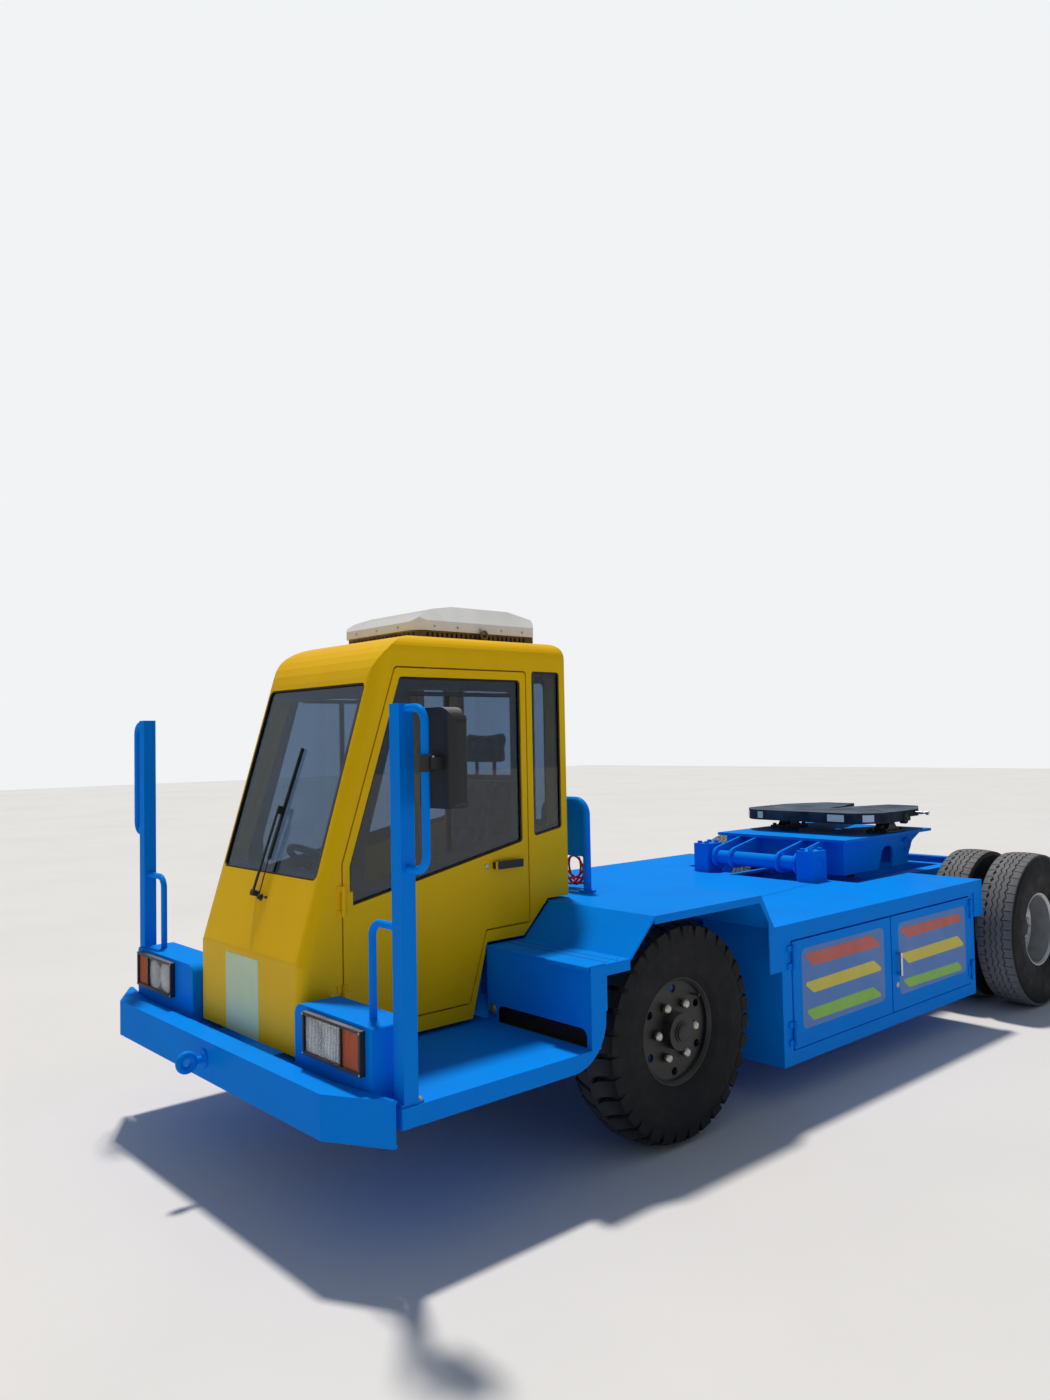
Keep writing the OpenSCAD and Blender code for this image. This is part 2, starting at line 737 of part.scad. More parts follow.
module cab_glass() {
    color("lightblue", 0.4) placed() translate([cab_shift, 0, 0]) {
        screen_prism(seat_gap, glass_inset, glass_inset + glass_t);
        for (x = [cab_x0 + glass_inset, cab_x1 - glass_inset - glass_t])
            side_plate(x, glass_t, rounded(rear_window(seat_gap)));
        rear_prism(seat_gap, cab_rear_y - glass_inset - glass_t, cab_rear_y - glass_inset);
    }
}

module cab_door(side) {
    color(cab_paint) placed() on_cab_side(side) {
        difference() {
            intersection() {
                side_plate(cab_x1 - wall, wall, rounded(door_outline(0)));
                cab_form(0);
            }
            side_plate(cab_x1 - wall - 1, wall + 2, rounded(door_window(0)));
        }
        // Lever handle on its foot
        block([cab_x1 - small, 990, 1056], [cab_x1 + 26, 1020, 1086]);
        block([cab_x1 + 14, 990, 1062], [cab_x1 + 26, 1130, 1084]);
        for (z = cab_hinge_z)
            hinge_knuckle(cab_hinge_x, cab_hinge_y, z, cab_hinge_h, cab_x1, 40);
    }
}

module left_cab_door() { cab_door(1); }
module right_cab_door() { cab_door(-1); }

module door_glass(side) {
    color("lightblue", 0.4) placed() on_cab_side(side)
        side_plate(cab_x1 - glass_inset - glass_t - 4, glass_t, rounded(door_window(seat_gap)));
}

module left_door_glass() { door_glass(1); }
module right_door_glass() { door_glass(-1); }

/* Roof unit */
module roof_unit_base() {
    color(cab_paint) placed() translate([cab_shift, ac_y, roof_z]) {
        difference() {
            block([-ac_w / 2 + 12, 30, 0], [ac_w / 2 - 12, ac_len - 8, ac_base_h]);
            // Louvres along both sides
            both_sides()
                for (i = [0:21])
                    block([ac_w / 2 - 26, 60 + i * 24, 6], [ac_w / 2, 70 + i * 24, ac_base_h - 6]);
        }
        // Lifting eyes beside the unit
        both_sides()
            translate([ac_w / 2 + 14, 330, 0]) {
                cylinder(r = 12, h = 8);
                translate([0, 0, 26])
                    rotate([90, 0, 90])
                        difference() {
                            translate([0, 0, -4])
                                cylinder(r = 20, h = 8);
                            translate([0, 0, -5])
                                cylinder(r = 11, h = 10);
                        }
            }
    }
}

module roof_unit_cover() {
    h = ac_cover_h;
    color("white") placed() translate([cab_shift, ac_y, roof_z + ac_base_h])
        intersection() {
            // Side profile: steep front, low crown, stepped tail
            side_plate(-ac_w / 2, ac_w, [[0, 0], [ac_len, 0], [ac_len, h * 0.72], [ac_len - 50, h * 0.85],
                [ac_len - 110, h], [ac_len * 0.35, h], [120, h * 0.86], [50, h * 0.64], [0, h * 0.3]]);
            // Front profile: chamfered sides
            translate([0, ac_len, 0])
                rotate([90, 0, 0])
                    linear_extrude(ac_len)
                        polygon([[-ac_w / 2, 0], [ac_w / 2, 0], [ac_w / 2, h * 0.36], [ac_w / 2 - 60, h],
                            [-ac_w / 2 + 60, h], [-ac_w / 2, h * 0.36]]);
            // Plan with rounded corners
            linear_extrude(h)
                polygon(rounded([[-ac_w / 2, 0, 60], [ac_w / 2, 0, 60],
                    [ac_w / 2, ac_len, 30], [-ac_w / 2, ac_len, 30]]));
        }
}

/* Cab interior */
floor_z = cab_bottom_z + wall;
hump_z = arch_z + wall;

module seat() {
    color(black) placed() translate([cab_shift, 0, 0]) {
        // Plinth on the wheel arch
        block([-200, 965, hump_z + seat_gap], [200, 1125, hump_z + 40]);
        // Cushion, back and headrest
        side_plate(-235, 470, rounded([[740, hump_z + 38, 20], [1150, hump_z + 38, 10], [1160, hump_z + 138, 10],
            [740, hump_z + 145, 40]]));
        side_plate(-225, 450, rounded([[1130, hump_z + 120, 20], [1210, hump_z + 120, 20],
            [1310, hump_z + 600, 40], [1225, hump_z + 610, 40]]));
        side_plate(-130, 260, rounded([[1245, hump_z + 640, 20], [1315, hump_z + 640, 20],
            [1325, hump_z + 790, 30], [1265, hump_z + 790, 30]]));
        for (x = [-60, 60])
            translate([x, 1275, hump_z + 560])
                cylinder(r = 8, h = 120);
    }
}

wheel_r = 165;
module dashboard() {
    color(black) placed() translate([cab_shift, 0, 0]) {
        side_plate(-340, 680, [[200, floor_z + seat_gap], [290, floor_z + seat_gap], [330, 900], [430, 1010],
            [420, 1060], [280, 1050], [215, 900]]);
        // Steering column and wheel
        translate([0, 405, 950])
            rotate([-35, 0, 0]) {
                cylinder(r = 22, h = 160);
                translate([0, 0, 150]) {
                    rotate_extrude()
                        translate([wheel_r, 0])
                            circle(r = 13, $fn = 16);
                    cylinder(r = 40, h = 20);
                    for (a = [-20, 200, 90])
                        rotate([0, 0, a])
                            block([0, -14, 4], [wheel_r, 14, 12]);
                }
            }
    }
}

wiper_x = -24;
wiper_z = 1010;
module wiper() {
    color(black) placed() translate([cab_shift, 0, 0])
        translate([wiper_x, cab_y + (wiper_z - nose_z) * lean, wiper_z])
            rotate([-screen_lean, 0, 0]) {
                translate([0, -seat_gap, 0])
                    rotate([90, 0, 0])
                        cylinder(r = 12, h = 26);
                // Arm and blade
                rotate([0, 5, 0]) {
                    block([-5, -24, 0], [5, -18, 330]);
                    block([-3, -20, 300], [3, -2, 330]);
                    block([-4, -4, 130], [4, glass_inset - seat_gap, 560]);
                }
            }
}

/* Corner posts */
post_y = platform_y + 12;
post_mid_y = post_y + post_w / 2;
hoop_r = 45;
hoop_x = 800;
hoop_z = 1000;

// Quarter bend of a tube in the XZ plane, round p and from the angle a
module bend(p, r, d, a) {
    translate(p)
        rotate([90, 0, 0])
            rotate([0, 0, a])
                rotate_extrude(angle = 90)
                    translate([r, 0])
                        circle(d = d);
}

module post(side) {
    x0 = post_x - post_w / 2;
    x1 = post_x + post_w / 2;
    z0 = platform_z + seat_gap;
    color(paint) placed() on_side(side) {
        // Square tube on a foot plate, open below
        difference() {
            union() {
                block([x0, post_y, z0], [x1, post_y + post_w, post_top_z]);
                block([x0 - 20, post_y - 10, z0], [x1, post_y + post_w + 20, z0 + 8]);
            }
            block([x0 + 4, post_y + 4, z0 - 1], [x1 - 4, post_y + post_w - 4, post_top_z - 4]);
        }
        // Outer grip: out, down and back in
        for (z = [grip_z0, post_top_z - 15])
            rod_x([(x1 - 2 + grip_x - hoop_r) / 2, post_mid_y, z], grip_d / 2, grip_x - hoop_r - x1 + 2);
        bend([grip_x - hoop_r, post_mid_y, grip_z0 + hoop_r], hoop_r, grip_d, -90);
        bend([grip_x - hoop_r, post_mid_y, post_top_z - 15 - hoop_r], hoop_r, grip_d, 0);
        translate([grip_x, post_mid_y, grip_z0 + hoop_r])
            cylinder(d = grip_d, h = post_top_z - 15 - grip_z0 - 2 * hoop_r);
        // Low hoop between the post and the lamp box
        rod_x([(x0 + 2 + hoop_x + hoop_r) / 2, post_mid_y, hoop_z], grip_d / 2, x0 + 2 - hoop_x - hoop_r);
        bend([hoop_x + hoop_r, post_mid_y, hoop_z - hoop_r], hoop_r, grip_d, 90);
        translate([hoop_x, post_mid_y, platform_z + lamp_box_h + seat_gap])
            cylinder(d = grip_d, h = hoop_z - hoop_r - platform_z - lamp_box_h - seat_gap);
    }
}

module left_post() { post(1); }
module right_post() { post(-1); }

clamp_z = 1470;
mirror_y = post_mid_y + 44;

module side_mirror() {
    color(black) placed() {
        translate([grip_x, post_mid_y, clamp_z])
            difference() {
                union() {
                    cylinder(r = 22, h = 50);
                    block([-30, 0, 8], [30, 46, 42]);
                }
                translate([0, 0, -1])
                    cylinder(r = grip_d / 2 + seat_gap, h = 52);
            }
        // Housing with the glass recess on its rear face
        difference() {
            intersection() {
                translate([0, 0, clamp_z - 110])
                    linear_extrude(300)
                        polygon(rounded([[grip_x - 105, mirror_y, 26], [mirror_x, mirror_y, 26],
                            [mirror_x, mirror_y + 58, 8], [grip_x - 105, mirror_y + 58, 8]]));
                translate([0, mirror_y + 60, clamp_z])
                    rotate([90, 0, 0])
                        linear_extrude(70)
                            polygon(rounded([[grip_x - 106, -110, 24], [mirror_x + 1, -110, 24],
                                [mirror_x + 1, 190, 60], [grip_x - 106, 190, 60]]));
            }
            block([grip_x - 95, mirror_y + 54, clamp_z - 100], [mirror_x - 10, mirror_y + 60, clamp_z + 180]);
        }
    }
}

/* Lamps */
lamp_x = [530, 747, 755, 853];
lamp_z = 553;
lamp_h = 137;
lens_d = 12;

// Lens between two x values, standing in its frame
module lens(x0, x1) {
    block([x0, lamp_y0 - lens_d, lamp_z + 10], [x1, lamp_y0 - seat_gap, lamp_z + lamp_h - 10]);
}

module lamp_frames() {
    color(black) placed() both_sides()
        difference() {
            block([lamp_x[0] - 10, lamp_y0 - 20, lamp_z], [lamp_x[3] + 10, lamp_y0 - seat_gap, lamp_z + lamp_h]);
            for (i = [0, 2])
                block([lamp_x[i] - seat_gap, lamp_y0 - 21, lamp_z + 10 - seat_gap],
                      [lamp_x[i + 1] + seat_gap, lamp_y0, lamp_z + lamp_h - 10 + seat_gap]);
        }
}

module headlights() {
    color("whitesmoke") placed() both_sides()
        lens(lamp_x[0], lamp_x[1]);
}

module indicators() {
    color("orange") placed() both_sides()
        lens(lamp_x[2], lamp_x[3]);
}

module tail_lamps() {
    color("firebrick") placed() both_sides()
        block([rear_beam_half - 340, frame_len + seat_gap, beam_z0 + 35],
              [rear_beam_half - 60, frame_len + seat_gap + lamp_t, beam_z0 + 115]);
}

/* Hose stand */
stand_y = 1560;
stand_x = 390;
stand_w = 260;
stand_h = 390;
stand_d = 34;
stand_r = 60;
gland_x = [stand_x - 60, stand_x - 180];
gland_y = stand_y + 44;
gland_z = deck_z + 215;

module hose_stand() {
    x0 = stand_x - stand_w;
    top = deck_z + stand_h;
    color(paint) placed() {
        for (x = [stand_x, x0])
            translate([x, stand_y, deck_z + seat_gap]) {
                cylinder(d = stand_d, h = stand_h - stand_r - seat_gap);
                cylinder(d = stand_d + 40, h = 8);
            }
        bend([stand_x - stand_r, stand_y, top - stand_r], stand_r, stand_d, 0);
        bend([x0 + stand_r, stand_y, top - stand_r], stand_r, stand_d, 90);
        rod_x([(stand_x + x0) / 2, stand_y, top], stand_d / 2, stand_w - 2 * stand_r);
        // Panel with two glands that face down
        translate([0, stand_y + 4, 0])
            rotate([90, 0, 0])
                linear_extrude(8)
                    polygon(rounded([[x0, deck_z + 150, 0], [stand_x, deck_z + 150, 0],
                        [stand_x, top, stand_r], [x0, top, stand_r]]));
        for (x = gland_x) {
            translate([x, gland_y, gland_z])
                cylinder(r = 15, h = 50);
            block([x - 12, stand_y, gland_z + 20], [x + 12, gland_y, gland_z + 44]);
        }
    }
}

hose_r = 30;
hose_turn = (gland_x[0] - gland_x[1]) / 2;
hose_low_z = deck_z + 95;
hose_mid_x = (gland_x[0] + gland_x[1]) / 2;

// Route of the coiled air hose: down from one gland, round and up to the other, as [x, z, heading]
hose_route = concat(
    [for (i = [0:4]) [gland_x[0], gland_z - (gland_z - hose_low_z) * i / 5, 0]],
    [for (a = [0:18:180]) [hose_mid_x + hose_turn * cos(a), hose_low_z - hose_turn * sin(a), a]],
    [for (i = [1:5]) [gland_x[1], hose_low_z + (gland_z - hose_low_z) * i / 5, 180]]);
hose_sides = 12;

module air_hose() {
    n = len(hose_route);
    rings = [for (p = hose_route)
        for (k = [0:hose_sides - 1])
            let (a = 360 * k / hose_sides)
            [p[0] + hose_r * cos(a) * cos(p[2]), gland_y + hose_r * sin(a), p[1] - hose_r * cos(a) * sin(p[2])]];
    walls = [for (i = [0:n - 2])
        for (k = [0:hose_sides - 1])
            let (a = i * hose_sides + k, b = i * hose_sides + (k + 1) % hose_sides)
            [a, b, b + hose_sides, a + hose_sides]];
    first = [for (k = [hose_sides - 1:-1:0]) k];
    last = [for (k = [0:hose_sides - 1]) (n - 1) * hose_sides + k];
    color("red") placed()
        polyhedron(rings, concat([first], walls, [last]));
}

/* Lifting coupling plate */
module bearing_blocks() {
    color(paint) placed() both_sides()
        difference() {
            union() {
                block([block_x0, pivot_y - block_len / 2, rear_deck_z + seat_gap],
                      [block_x0 + block_w, pivot_y + block_len / 2, block_top_z]);
                for (y = [-45, 45])
                    for (x = [26, block_w - 26])
                        translate([block_x0 + x, pivot_y + y, block_top_z - small])
                            cylinder(r = 15, h = 13, $fn = 6);
            }
            rod_x([block_x0 + block_w / 2, pivot_y, pivot_z], pivot_d / 2 + 0.1, block_w + 2);
        }
}

ear_x = [160, 275];
ear_t = 16;
body_half_w = 396;
body_y1 = rear_axle_y - 170;
cheek_x = [296, 358];
cheek_t = 26;
cheek_r = 24;
plate_pin_r = 16;
plate_axis_z = plate_top_z - 72;

// Ear that wraps the front of the pivot tube and slopes up to the table's front edge
module table_ear(x) {
    r = pivot_d / 2 + 22;
    top = table_z - table_t + small;
    difference() {
        side_plate(x - ear_t / 2, ear_t, concat(
            [for (a = [101:13:270]) [pivot_y + r * cos(a), pivot_z + r * sin(a)]],
            [[table_y0 + 56, pivot_z - r], [table_y0 + 56, top], [table_y0 + 4, top]]));
        rod_x([x, pivot_y, pivot_z], pivot_d / 2 - 1, ear_t + 2);
    }
}

module lift_table() {
    wall_t = 12;
    top = table_z - table_t;
    color(paint) placed() {
        // Pivot tube
        rod_x([0, pivot_y, pivot_z], pivot_d / 2, 2 * (block_x0 + block_w) - 6);
        both_sides()
            for (x = ear_x)
                table_ear(x);
        // Top plate
        block([-table_half_w, table_y0, top], [table_half_w, table_y1, table_z]);
        // Body: front, side and rear walls, with an arch cut in both sides
        difference() {
            block([-body_half_w, table_y0 + 50, rear_deck_z + 5], [body_half_w, body_y1, top + small]);
            block([-body_half_w + wall_t, table_y0 + 50 + wall_t, rear_deck_z - 1],
                  [body_half_w - wall_t, body_y1 - wall_t, top]);
            side_plate(-body_half_w - 1, 2 * body_half_w + 2, rounded([[plate_y - 200, rear_deck_z, 0],
                [plate_y - 40, rear_deck_z, 0], [plate_y - 20, top - 60, 40], [plate_y - 140, top - 60, 60]]));
        }
        both_sides() {
            // Corner posts of the body
            block([body_half_w - 40, table_y0 + 44, rear_deck_z + 5], [body_half_w + 6, table_y0 + 84, top + small]);
            // Flared gusset under the table's rear end
            side_plate(body_half_w - wall_t, wall_t, rounded([[body_y1 - 6, rear_deck_z + 5, 0],
                [body_y1 + 10, rear_deck_z + 60, 0], [body_y1 + 60, top - 50, 60], [table_y1 - 50, top + small, 0],
                [body_y1 - 6, top + small, 0]]));
        }
        // Clevis for the rods, on cross webs
        difference() {
            block([-230, eye[0] - 34, eye[1] - 32], [230, eye[0] + 34, top + small]);
            block([-180, eye[0] - 36, eye[1] - 42], [180, eye[0] + 36, eye[1] + 60]);
            rod_x([0, eye[0], eye[1]], eye_r + 1, 600);
        }
    }
}

// Pedestals that carry the coupling plate
module plate_pedestals() {
    z0 = table_z + seat_gap;
    foot_y = 110;
    foot_t = 12;
    color(black) placed() both_sides()
        difference() {
            union() {
                block([cheek_x[0] - 24, plate_y - foot_y, z0], [cheek_x[1] + cheek_t + 24, plate_y + foot_y, z0 + foot_t]);
                for (y = [-90, 90])
                    for (x = [cheek_x[0] - 6, cheek_x[1] + cheek_t + 6])
                        translate([x, plate_y + y, z0 + foot_t - small])
                            cylinder(r = 13, h = 12, $fn = 6);
                for (x = cheek_x) {
                    side_plate(x, cheek_t, [[plate_y - 70, z0 + 1], [plate_y + 70, z0 + 1],
                        [plate_y + cheek_r, plate_axis_z], [plate_y - cheek_r, plate_axis_z]]);
                    rod_x([x + cheek_t / 2, plate_y, plate_axis_z], cheek_r, cheek_t);
                }
            }
            for (x = cheek_x)
                rod_x([x + cheek_t / 2, plate_y, plate_axis_z], plate_pin_r + 0.1, cheek_t + 2);
        }
}

plate_t = 40;
plate_rim_h = 62;
lug_t = 25;
lug_x = (cheek_x[0] + cheek_x[1] + cheek_t - lug_t) / 2;
jaw_z = plate_top_z - 64;

module coupling_plate() {
    w = plate_half_w;
    color("#3a3d42") placed() {
        difference() {
            union() {
                translate([0, plate_y, plate_top_z - plate_t])
                    linear_extrude(plate_t)
                        polygon(rounded([[-350, -400, 110], [350, -400, 110], [w, -260, 110],
                            [w, 160, 60], [330, 430, 40], [120, 440, 20], [40, 170, 10], [-40, 170, 10],
                            [-120, 440, 20], [-330, 430, 40], [-w, 160, 60], [-w, -260, 110]]));
                // Rim below the front edge and the sides
                translate([0, plate_y, plate_top_z - plate_rim_h])
                    difference() {
                        linear_extrude(plate_rim_h - plate_t + small)
                            polygon(rounded([[-350, -400, 110], [350, -400, 110], [w, -260, 110], [w, 60, 0],
                                [-w, 60, 0], [-w, -260, 110]]));
                        translate([0, 0, -1])
                            linear_extrude(plate_rim_h)
                                polygon(rounded([[-330, -370, 90], [330, -370, 90], [w - 30, -245, 90],
                                    [w - 30, 61, 0], [30 - w, 61, 0], [30 - w, -245, 90]]));
                    }
                // Jaw housing below the plate
                translate([0, plate_y, jaw_z])
                    cylinder(r = 78, h = plate_top_z - jaw_z - 20);
            }
            // Throat that leads the king pin in from behind
            block([-king_bore_r, plate_y, plate_top_z - 20], [king_bore_r, plate_y + 200, plate_top_z + 1]);
            block([-king_bore_r, plate_y + 78, plate_top_z - plate_t - 1],
                  [king_bore_r, plate_y + 200, plate_top_z + 1]);
            translate([0, plate_y, jaw_z - 1])
                cylinder(r = king_bore_r, h = 80);
        }
        // Bosses on the sides, lugs and their pins
        both_sides() {
            rod_x([w - 12, plate_y, plate_top_z - 45], 34, 30);
            side_plate(lug_x, lug_t, [[plate_y - 60, plate_top_z - plate_t + small],
                [plate_y - 26, plate_axis_z], [plate_y + 26, plate_axis_z],
                [plate_y + 60, plate_top_z - plate_t + small]]);
            rod_x([lug_x + lug_t / 2, plate_y, plate_axis_z], 26, lug_t);
            rod_x([lug_x + lug_t / 2, plate_y, plate_axis_z], plate_pin_r, cheek_x[1] + cheek_t - cheek_x[0] + 4);
        }
    }
}

/* Lift cylinders */
cyl_lean = atan2(eye[0] - anchor[0], eye[1] - anchor[1]);
cyl_len = norm(eye - anchor);
barrel_r = 42;
rod_r = 22;
barrel_len = 280;

module along_cylinder(x) {
    translate([x, anchor[0], anchor[1]])
        rotate([-cyl_lean, 0, 0])
            children();
}

module lift_cylinders() {
    color("silver") placed() {
        rod_x([0, anchor[0], anchor[1]], anchor_r, 530);
        both_sides()
            along_cylinder(cyl_x)
                difference() {
                    union() {
                        translate([0, 0, 15])
                            cylinder(r = barrel_r, h = barrel_len - 15);
                        // Gland nut
                        translate([0, 0, barrel_len - 32])
                            cylinder(r = barrel_r + 5, h = 32);
                    }
                    translate([0, 0, 60])
                        cylinder(r = rod_r + seat_gap, h = barrel_len);
                }
    }
}

module lift_rods() {
    color("silver") placed() {
        rod_x([0, eye[0], eye[1]], eye_r, 470);
        both_sides() {
            rod_x([cyl_x, eye[0], eye[1]], 34, 60);
            along_cylinder(cyl_x)
                translate([0, 0, 70])
                    cylinder(r = rod_r, h = cyl_len - 70);
        }
    }
}

/* Axles */
beam_drop = 60;
spring_x = 345;
spring_w = 50;
spring_half = 440;
leaf_t = 9;
leaves = 4;
kingpin_r = 20;
spindle_r = 30;
spindle_len = 88;

// Underside or top of a leaf; the arch rises by rise at both ends of the main leaf
leaf_step = 40;
leaf_half = [120, 240, 360, spring_half];
function leaf_curve(half, z, rise) =
    [for (y = [-half:leaf_step:half]) [y, z + rise * pow(y / spring_half, 2)]];

// Stack of leaves on one side; the longest one lies on top. Hangers reach up to the rail.
module leaf_spring(y, z, rise) {
    end_z = z + leaves * leaf_t + rise;
    for (i = [0:leaves - 1])
        translate([0, y, 0])
            side_plate(spring_x, spring_w, concat(
                leaf_curve(leaf_half[i], z + i * leaf_t, rise),
                [for (p = leaf_curve(leaf_half[i], z + (i + 1) * leaf_t + 1, rise)) [-p[0], p[1]]]));
    for (e = [-1, 1]) {
        rod_x([spring_x + spring_w / 2, y + e * spring_half, end_z + 4], 16, spring_w);
        side_plate(spring_x + 10, spring_w - 20, [
            [y + e * spring_half - 14, end_z + 4], [y + e * spring_half + 14, end_z + 4],
            [y + e * spring_half + 26, beam_z0], [y + e * spring_half - 26, beam_z0]]);
    }
}

// U bolts and their plate round a spring
module spring_clamp(y, z0, z1) {
    block([spring_x - 12, y - 70, z1 - 2], [spring_x + spring_w + 12, y + 70, z1 + 14]);
    for (e = [-52, 52])
        for (x = [spring_x - 3, spring_x + spring_w + 3])
            translate([x, y + e, z0])
                cylinder(r = 7, h = z1 - z0 + 28, $fn = 16);
}

module front_axle() {
    top = axle_z + 40 - beam_drop;
    color(black) placed() {
        // Dropped beam with an eye at each kingpin
        difference() {
            union() {
                block([-560, front_axle_y - 40, top - 80], [560, front_axle_y + 40, top]);
                both_sides() {
                    translate([0, front_axle_y + 40, 0])
                        rotate([90, 0, 0])
                            linear_extrude(80)
                                polygon([[540, top - 80], [kingpin_x - 50, axle_z - 40], [kingpin_x, axle_z - 40],
                                         [kingpin_x, axle_z + 40], [540, top]]);
                    translate([kingpin_x, front_axle_y, axle_z - 40])
                        cylinder(r = 44, h = 80);
                }
            }
            both_sides()
                translate([kingpin_x, front_axle_y, axle_z - 60])
                    cylinder(r = kingpin_r + 0.1, h = 120);
            // Relief on both faces of the beam
            for (e = [-1, 1])
                block([-500, front_axle_y + e * 54 - 24, top - 64], [500, front_axle_y + e * 54 + 24, top - 16]);
        }
        both_sides() {
            block([spring_x - 5, front_axle_y - 60, top - small], [spring_x + spring_w + 5, front_axle_y + 60, top + 10]);
            leaf_spring(front_axle_y, top + 7, 36);
            spring_clamp(front_axle_y, top - 4, top + 10 + leaves * leaf_t);
        }
    }
}

module knuckle(side) {
    x1 = kingpin_x + 70;
    color("dimgray") placed() on_side(side) {
        translate([kingpin_x, front_axle_y, axle_z - 70])
            cylinder(r = kingpin_r, h = 140);
        for (z = [axle_z - 70, axle_z + 45])
            translate([0, 0, z]) {
                translate([kingpin_x, front_axle_y, 0])
                    cylinder(r = 40, h = 25);
                block([kingpin_x, front_axle_y - 40, 0], [x1, front_axle_y + 40, 25]);
            }
        block([x1 - 20, front_axle_y - 40, axle_z - 70], [x1, front_axle_y + 40, axle_z + 70]);
        rod_x([x1 - 1 + spindle_len / 2, front_axle_y, axle_z], spindle_r, spindle_len);
    }
}

module left_knuckle() { knuckle(1); }
module right_knuckle() { knuckle(-1); }

// Half profile of a tyre, as [radius, across]
function tyre_profile(r, w) = rounded([
    [rim_r - 22, -w * 0.36, 4], [rim_r + 8, -w * 0.42, 8], [r - 90, -w / 2, 40], [r - 22, -w * 0.47, 16],
    [r - 4, -w * 0.4, 6], [r, -w * 0.2, 0], [r, w * 0.2, 0], [r - 4, w * 0.4, 6],
    [r - 22, w * 0.47, 16], [r - 90, w / 2, 40], [rim_r + 8, w * 0.42, 8], [rim_r - 22, w * 0.36, 4]]);

module tyre_body(x, y) {
    translate([x, y, axle_z])
        rotate([0, 90, 0])
            rotate_extrude($fn = 96)
                polygon(tyre_profile(tyre_r, tyre_w));
}

// Rim's ring with a flange at each edge
rim_seat_r = rim_r - 22 - seat_gap;
rim_half = tyre_w * 0.36;
module rim_ring() {
    rotate_extrude($fn = 72)
        polygon([[rim_seat_r - 14, -rim_half + 12], [rim_seat_r - 4, -rim_half], [rim_seat_r, -rim_half],
            [rim_seat_r, rim_half], [rim_seat_r - 4, rim_half], [rim_seat_r - 14, rim_half - 12]]);
}

// Ring of nuts on a disc
module nuts(count, radius, z, h) {
    for (i = [0:count - 1])
        rotate([0, 0, (i + 0.5) * 360 / count])
            translate([radius, 0, z])
                cylinder(r = 15, h = h, $fn = 6);
}

module front_wheel(side) {
    dish = 40;
    hub_x1 = 95;
    color(black) placed() on_side(side)
        translate([front_track_half, front_axle_y, axle_z])
            rotate([0, 90, 0]) {
                rim_ring();
                // Disc with hand holes near the rim
                difference() {
                    translate([0, 0, dish])
                        cylinder(r = rim_seat_r - 10, h = 12);
                    translate([0, 0, dish - 1])
                        cylinder(r = 60, h = 14);
                    for (a = [0:60:300])
                        rotate([0, 0, a])
                            translate([158, 0, dish - 1])
                                cylinder(r = 16, h = 14);
                }
                difference() {
                    union() {
                        translate([0, 0, -15])
                            cylinder(r = 70, h = hub_x1 + 15);
                        translate([0, 0, dish - 20])
                            cylinder(r = 128, h = 20);
                    }
                    translate([0, 0, -16])
                        cylinder(r = spindle_r + 0.2, h = 80);
                }
                nuts(6, 108, dish + 12 - small, 24);
            }
}

module left_front_wheel() { front_wheel(1); }
module right_front_wheel() { front_wheel(-1); }

module front_tyre(side) {
    color("#222226") placed() on_side(side)
        tyre_body(front_track_half, front_axle_y);
}

module left_front_tyre() { front_tyre(1); }
module right_front_tyre() { front_tyre(-1); }

shaft_r = 35;
tube_r = 62;

// Half section of the gear case: [radius, distance behind the axle]
gear_case = [[0, -150], [70, -150], [110, -138], [140, -110], [158, -70], [165, -30], [165, 30], [155, 70],
    [130, 110], [105, 130], [100, 150], [118, 150], [118, 170], [0, 170]];

module rear_axle() {
    color(black) placed() {
        rod_x([0, rear_axle_y, axle_z], tube_r, 2 * (rear_track_half - 60));
        rod_x([0, rear_axle_y, axle_z], shaft_r, 2 * (rear_track_half + 120));
        // Gear case turned about the drive line, with a flange for the motor
        translate([0, rear_axle_y, axle_z])
            rotate([-90, 0, 0])
                rotate_extrude($fn = 64)
                    polygon(gear_case);
        both_sides() {
            // Brake drum inside the inner wheel
            rod_x([rear_track_half - twin_pitch / 2 - 50, rear_axle_y, axle_z], 160, 70);
            leaf_spring(rear_axle_y, axle_z - tube_r - leaves * leaf_t + 2, 60);
            spring_clamp(rear_axle_y, axle_z - tube_r - leaves * leaf_t - 12, axle_z + tube_r - 2);
            block([spring_x - 6, rear_axle_y - 60, axle_z - tube_r - 8], [spring_x + spring_w + 6, rear_axle_y + 60, axle_z]);
            block([spring_x - 12, rear_axle_y - 70, axle_z - tube_r - leaves * leaf_t - 12],
                  [spring_x + spring_w + 12, rear_axle_y + 70, axle_z - tube_r - leaves * leaf_t + 6]);
        }
    }
}

// Half section of a dished disc: [radius, distance from the plane between the twin wheels]
twin_disc = [[rim_seat_r - 13, 85], [rim_seat_r - 13, 97], [150, 40], [130, 14], [80, 14], [80, 2],
    [135, 2], [158, 34], [182, 85]];

module rear_wheels(side) {
    color("silver") placed() on_side(side)
        translate([rear_track_half, rear_axle_y, axle_z])
            rotate([0, 90, 0]) {
                for (e = [-1, 1]) {
                    translate([0, 0, e * twin_pitch / 2])
                        rim_ring();
                    rotate_extrude($fn = 72)
                        polygon([for (p = twin_disc) [p[0], e * p[1]]]);
                }
                difference() {
                    translate([0, 0, -40])
                        cylinder(r = 84, h = 170);
                    translate([0, 0, -41])
                        cylinder(r = shaft_r + 0.2, h = 165);
                }
                nuts(8, 108, 14 - small, 26);
            }
}

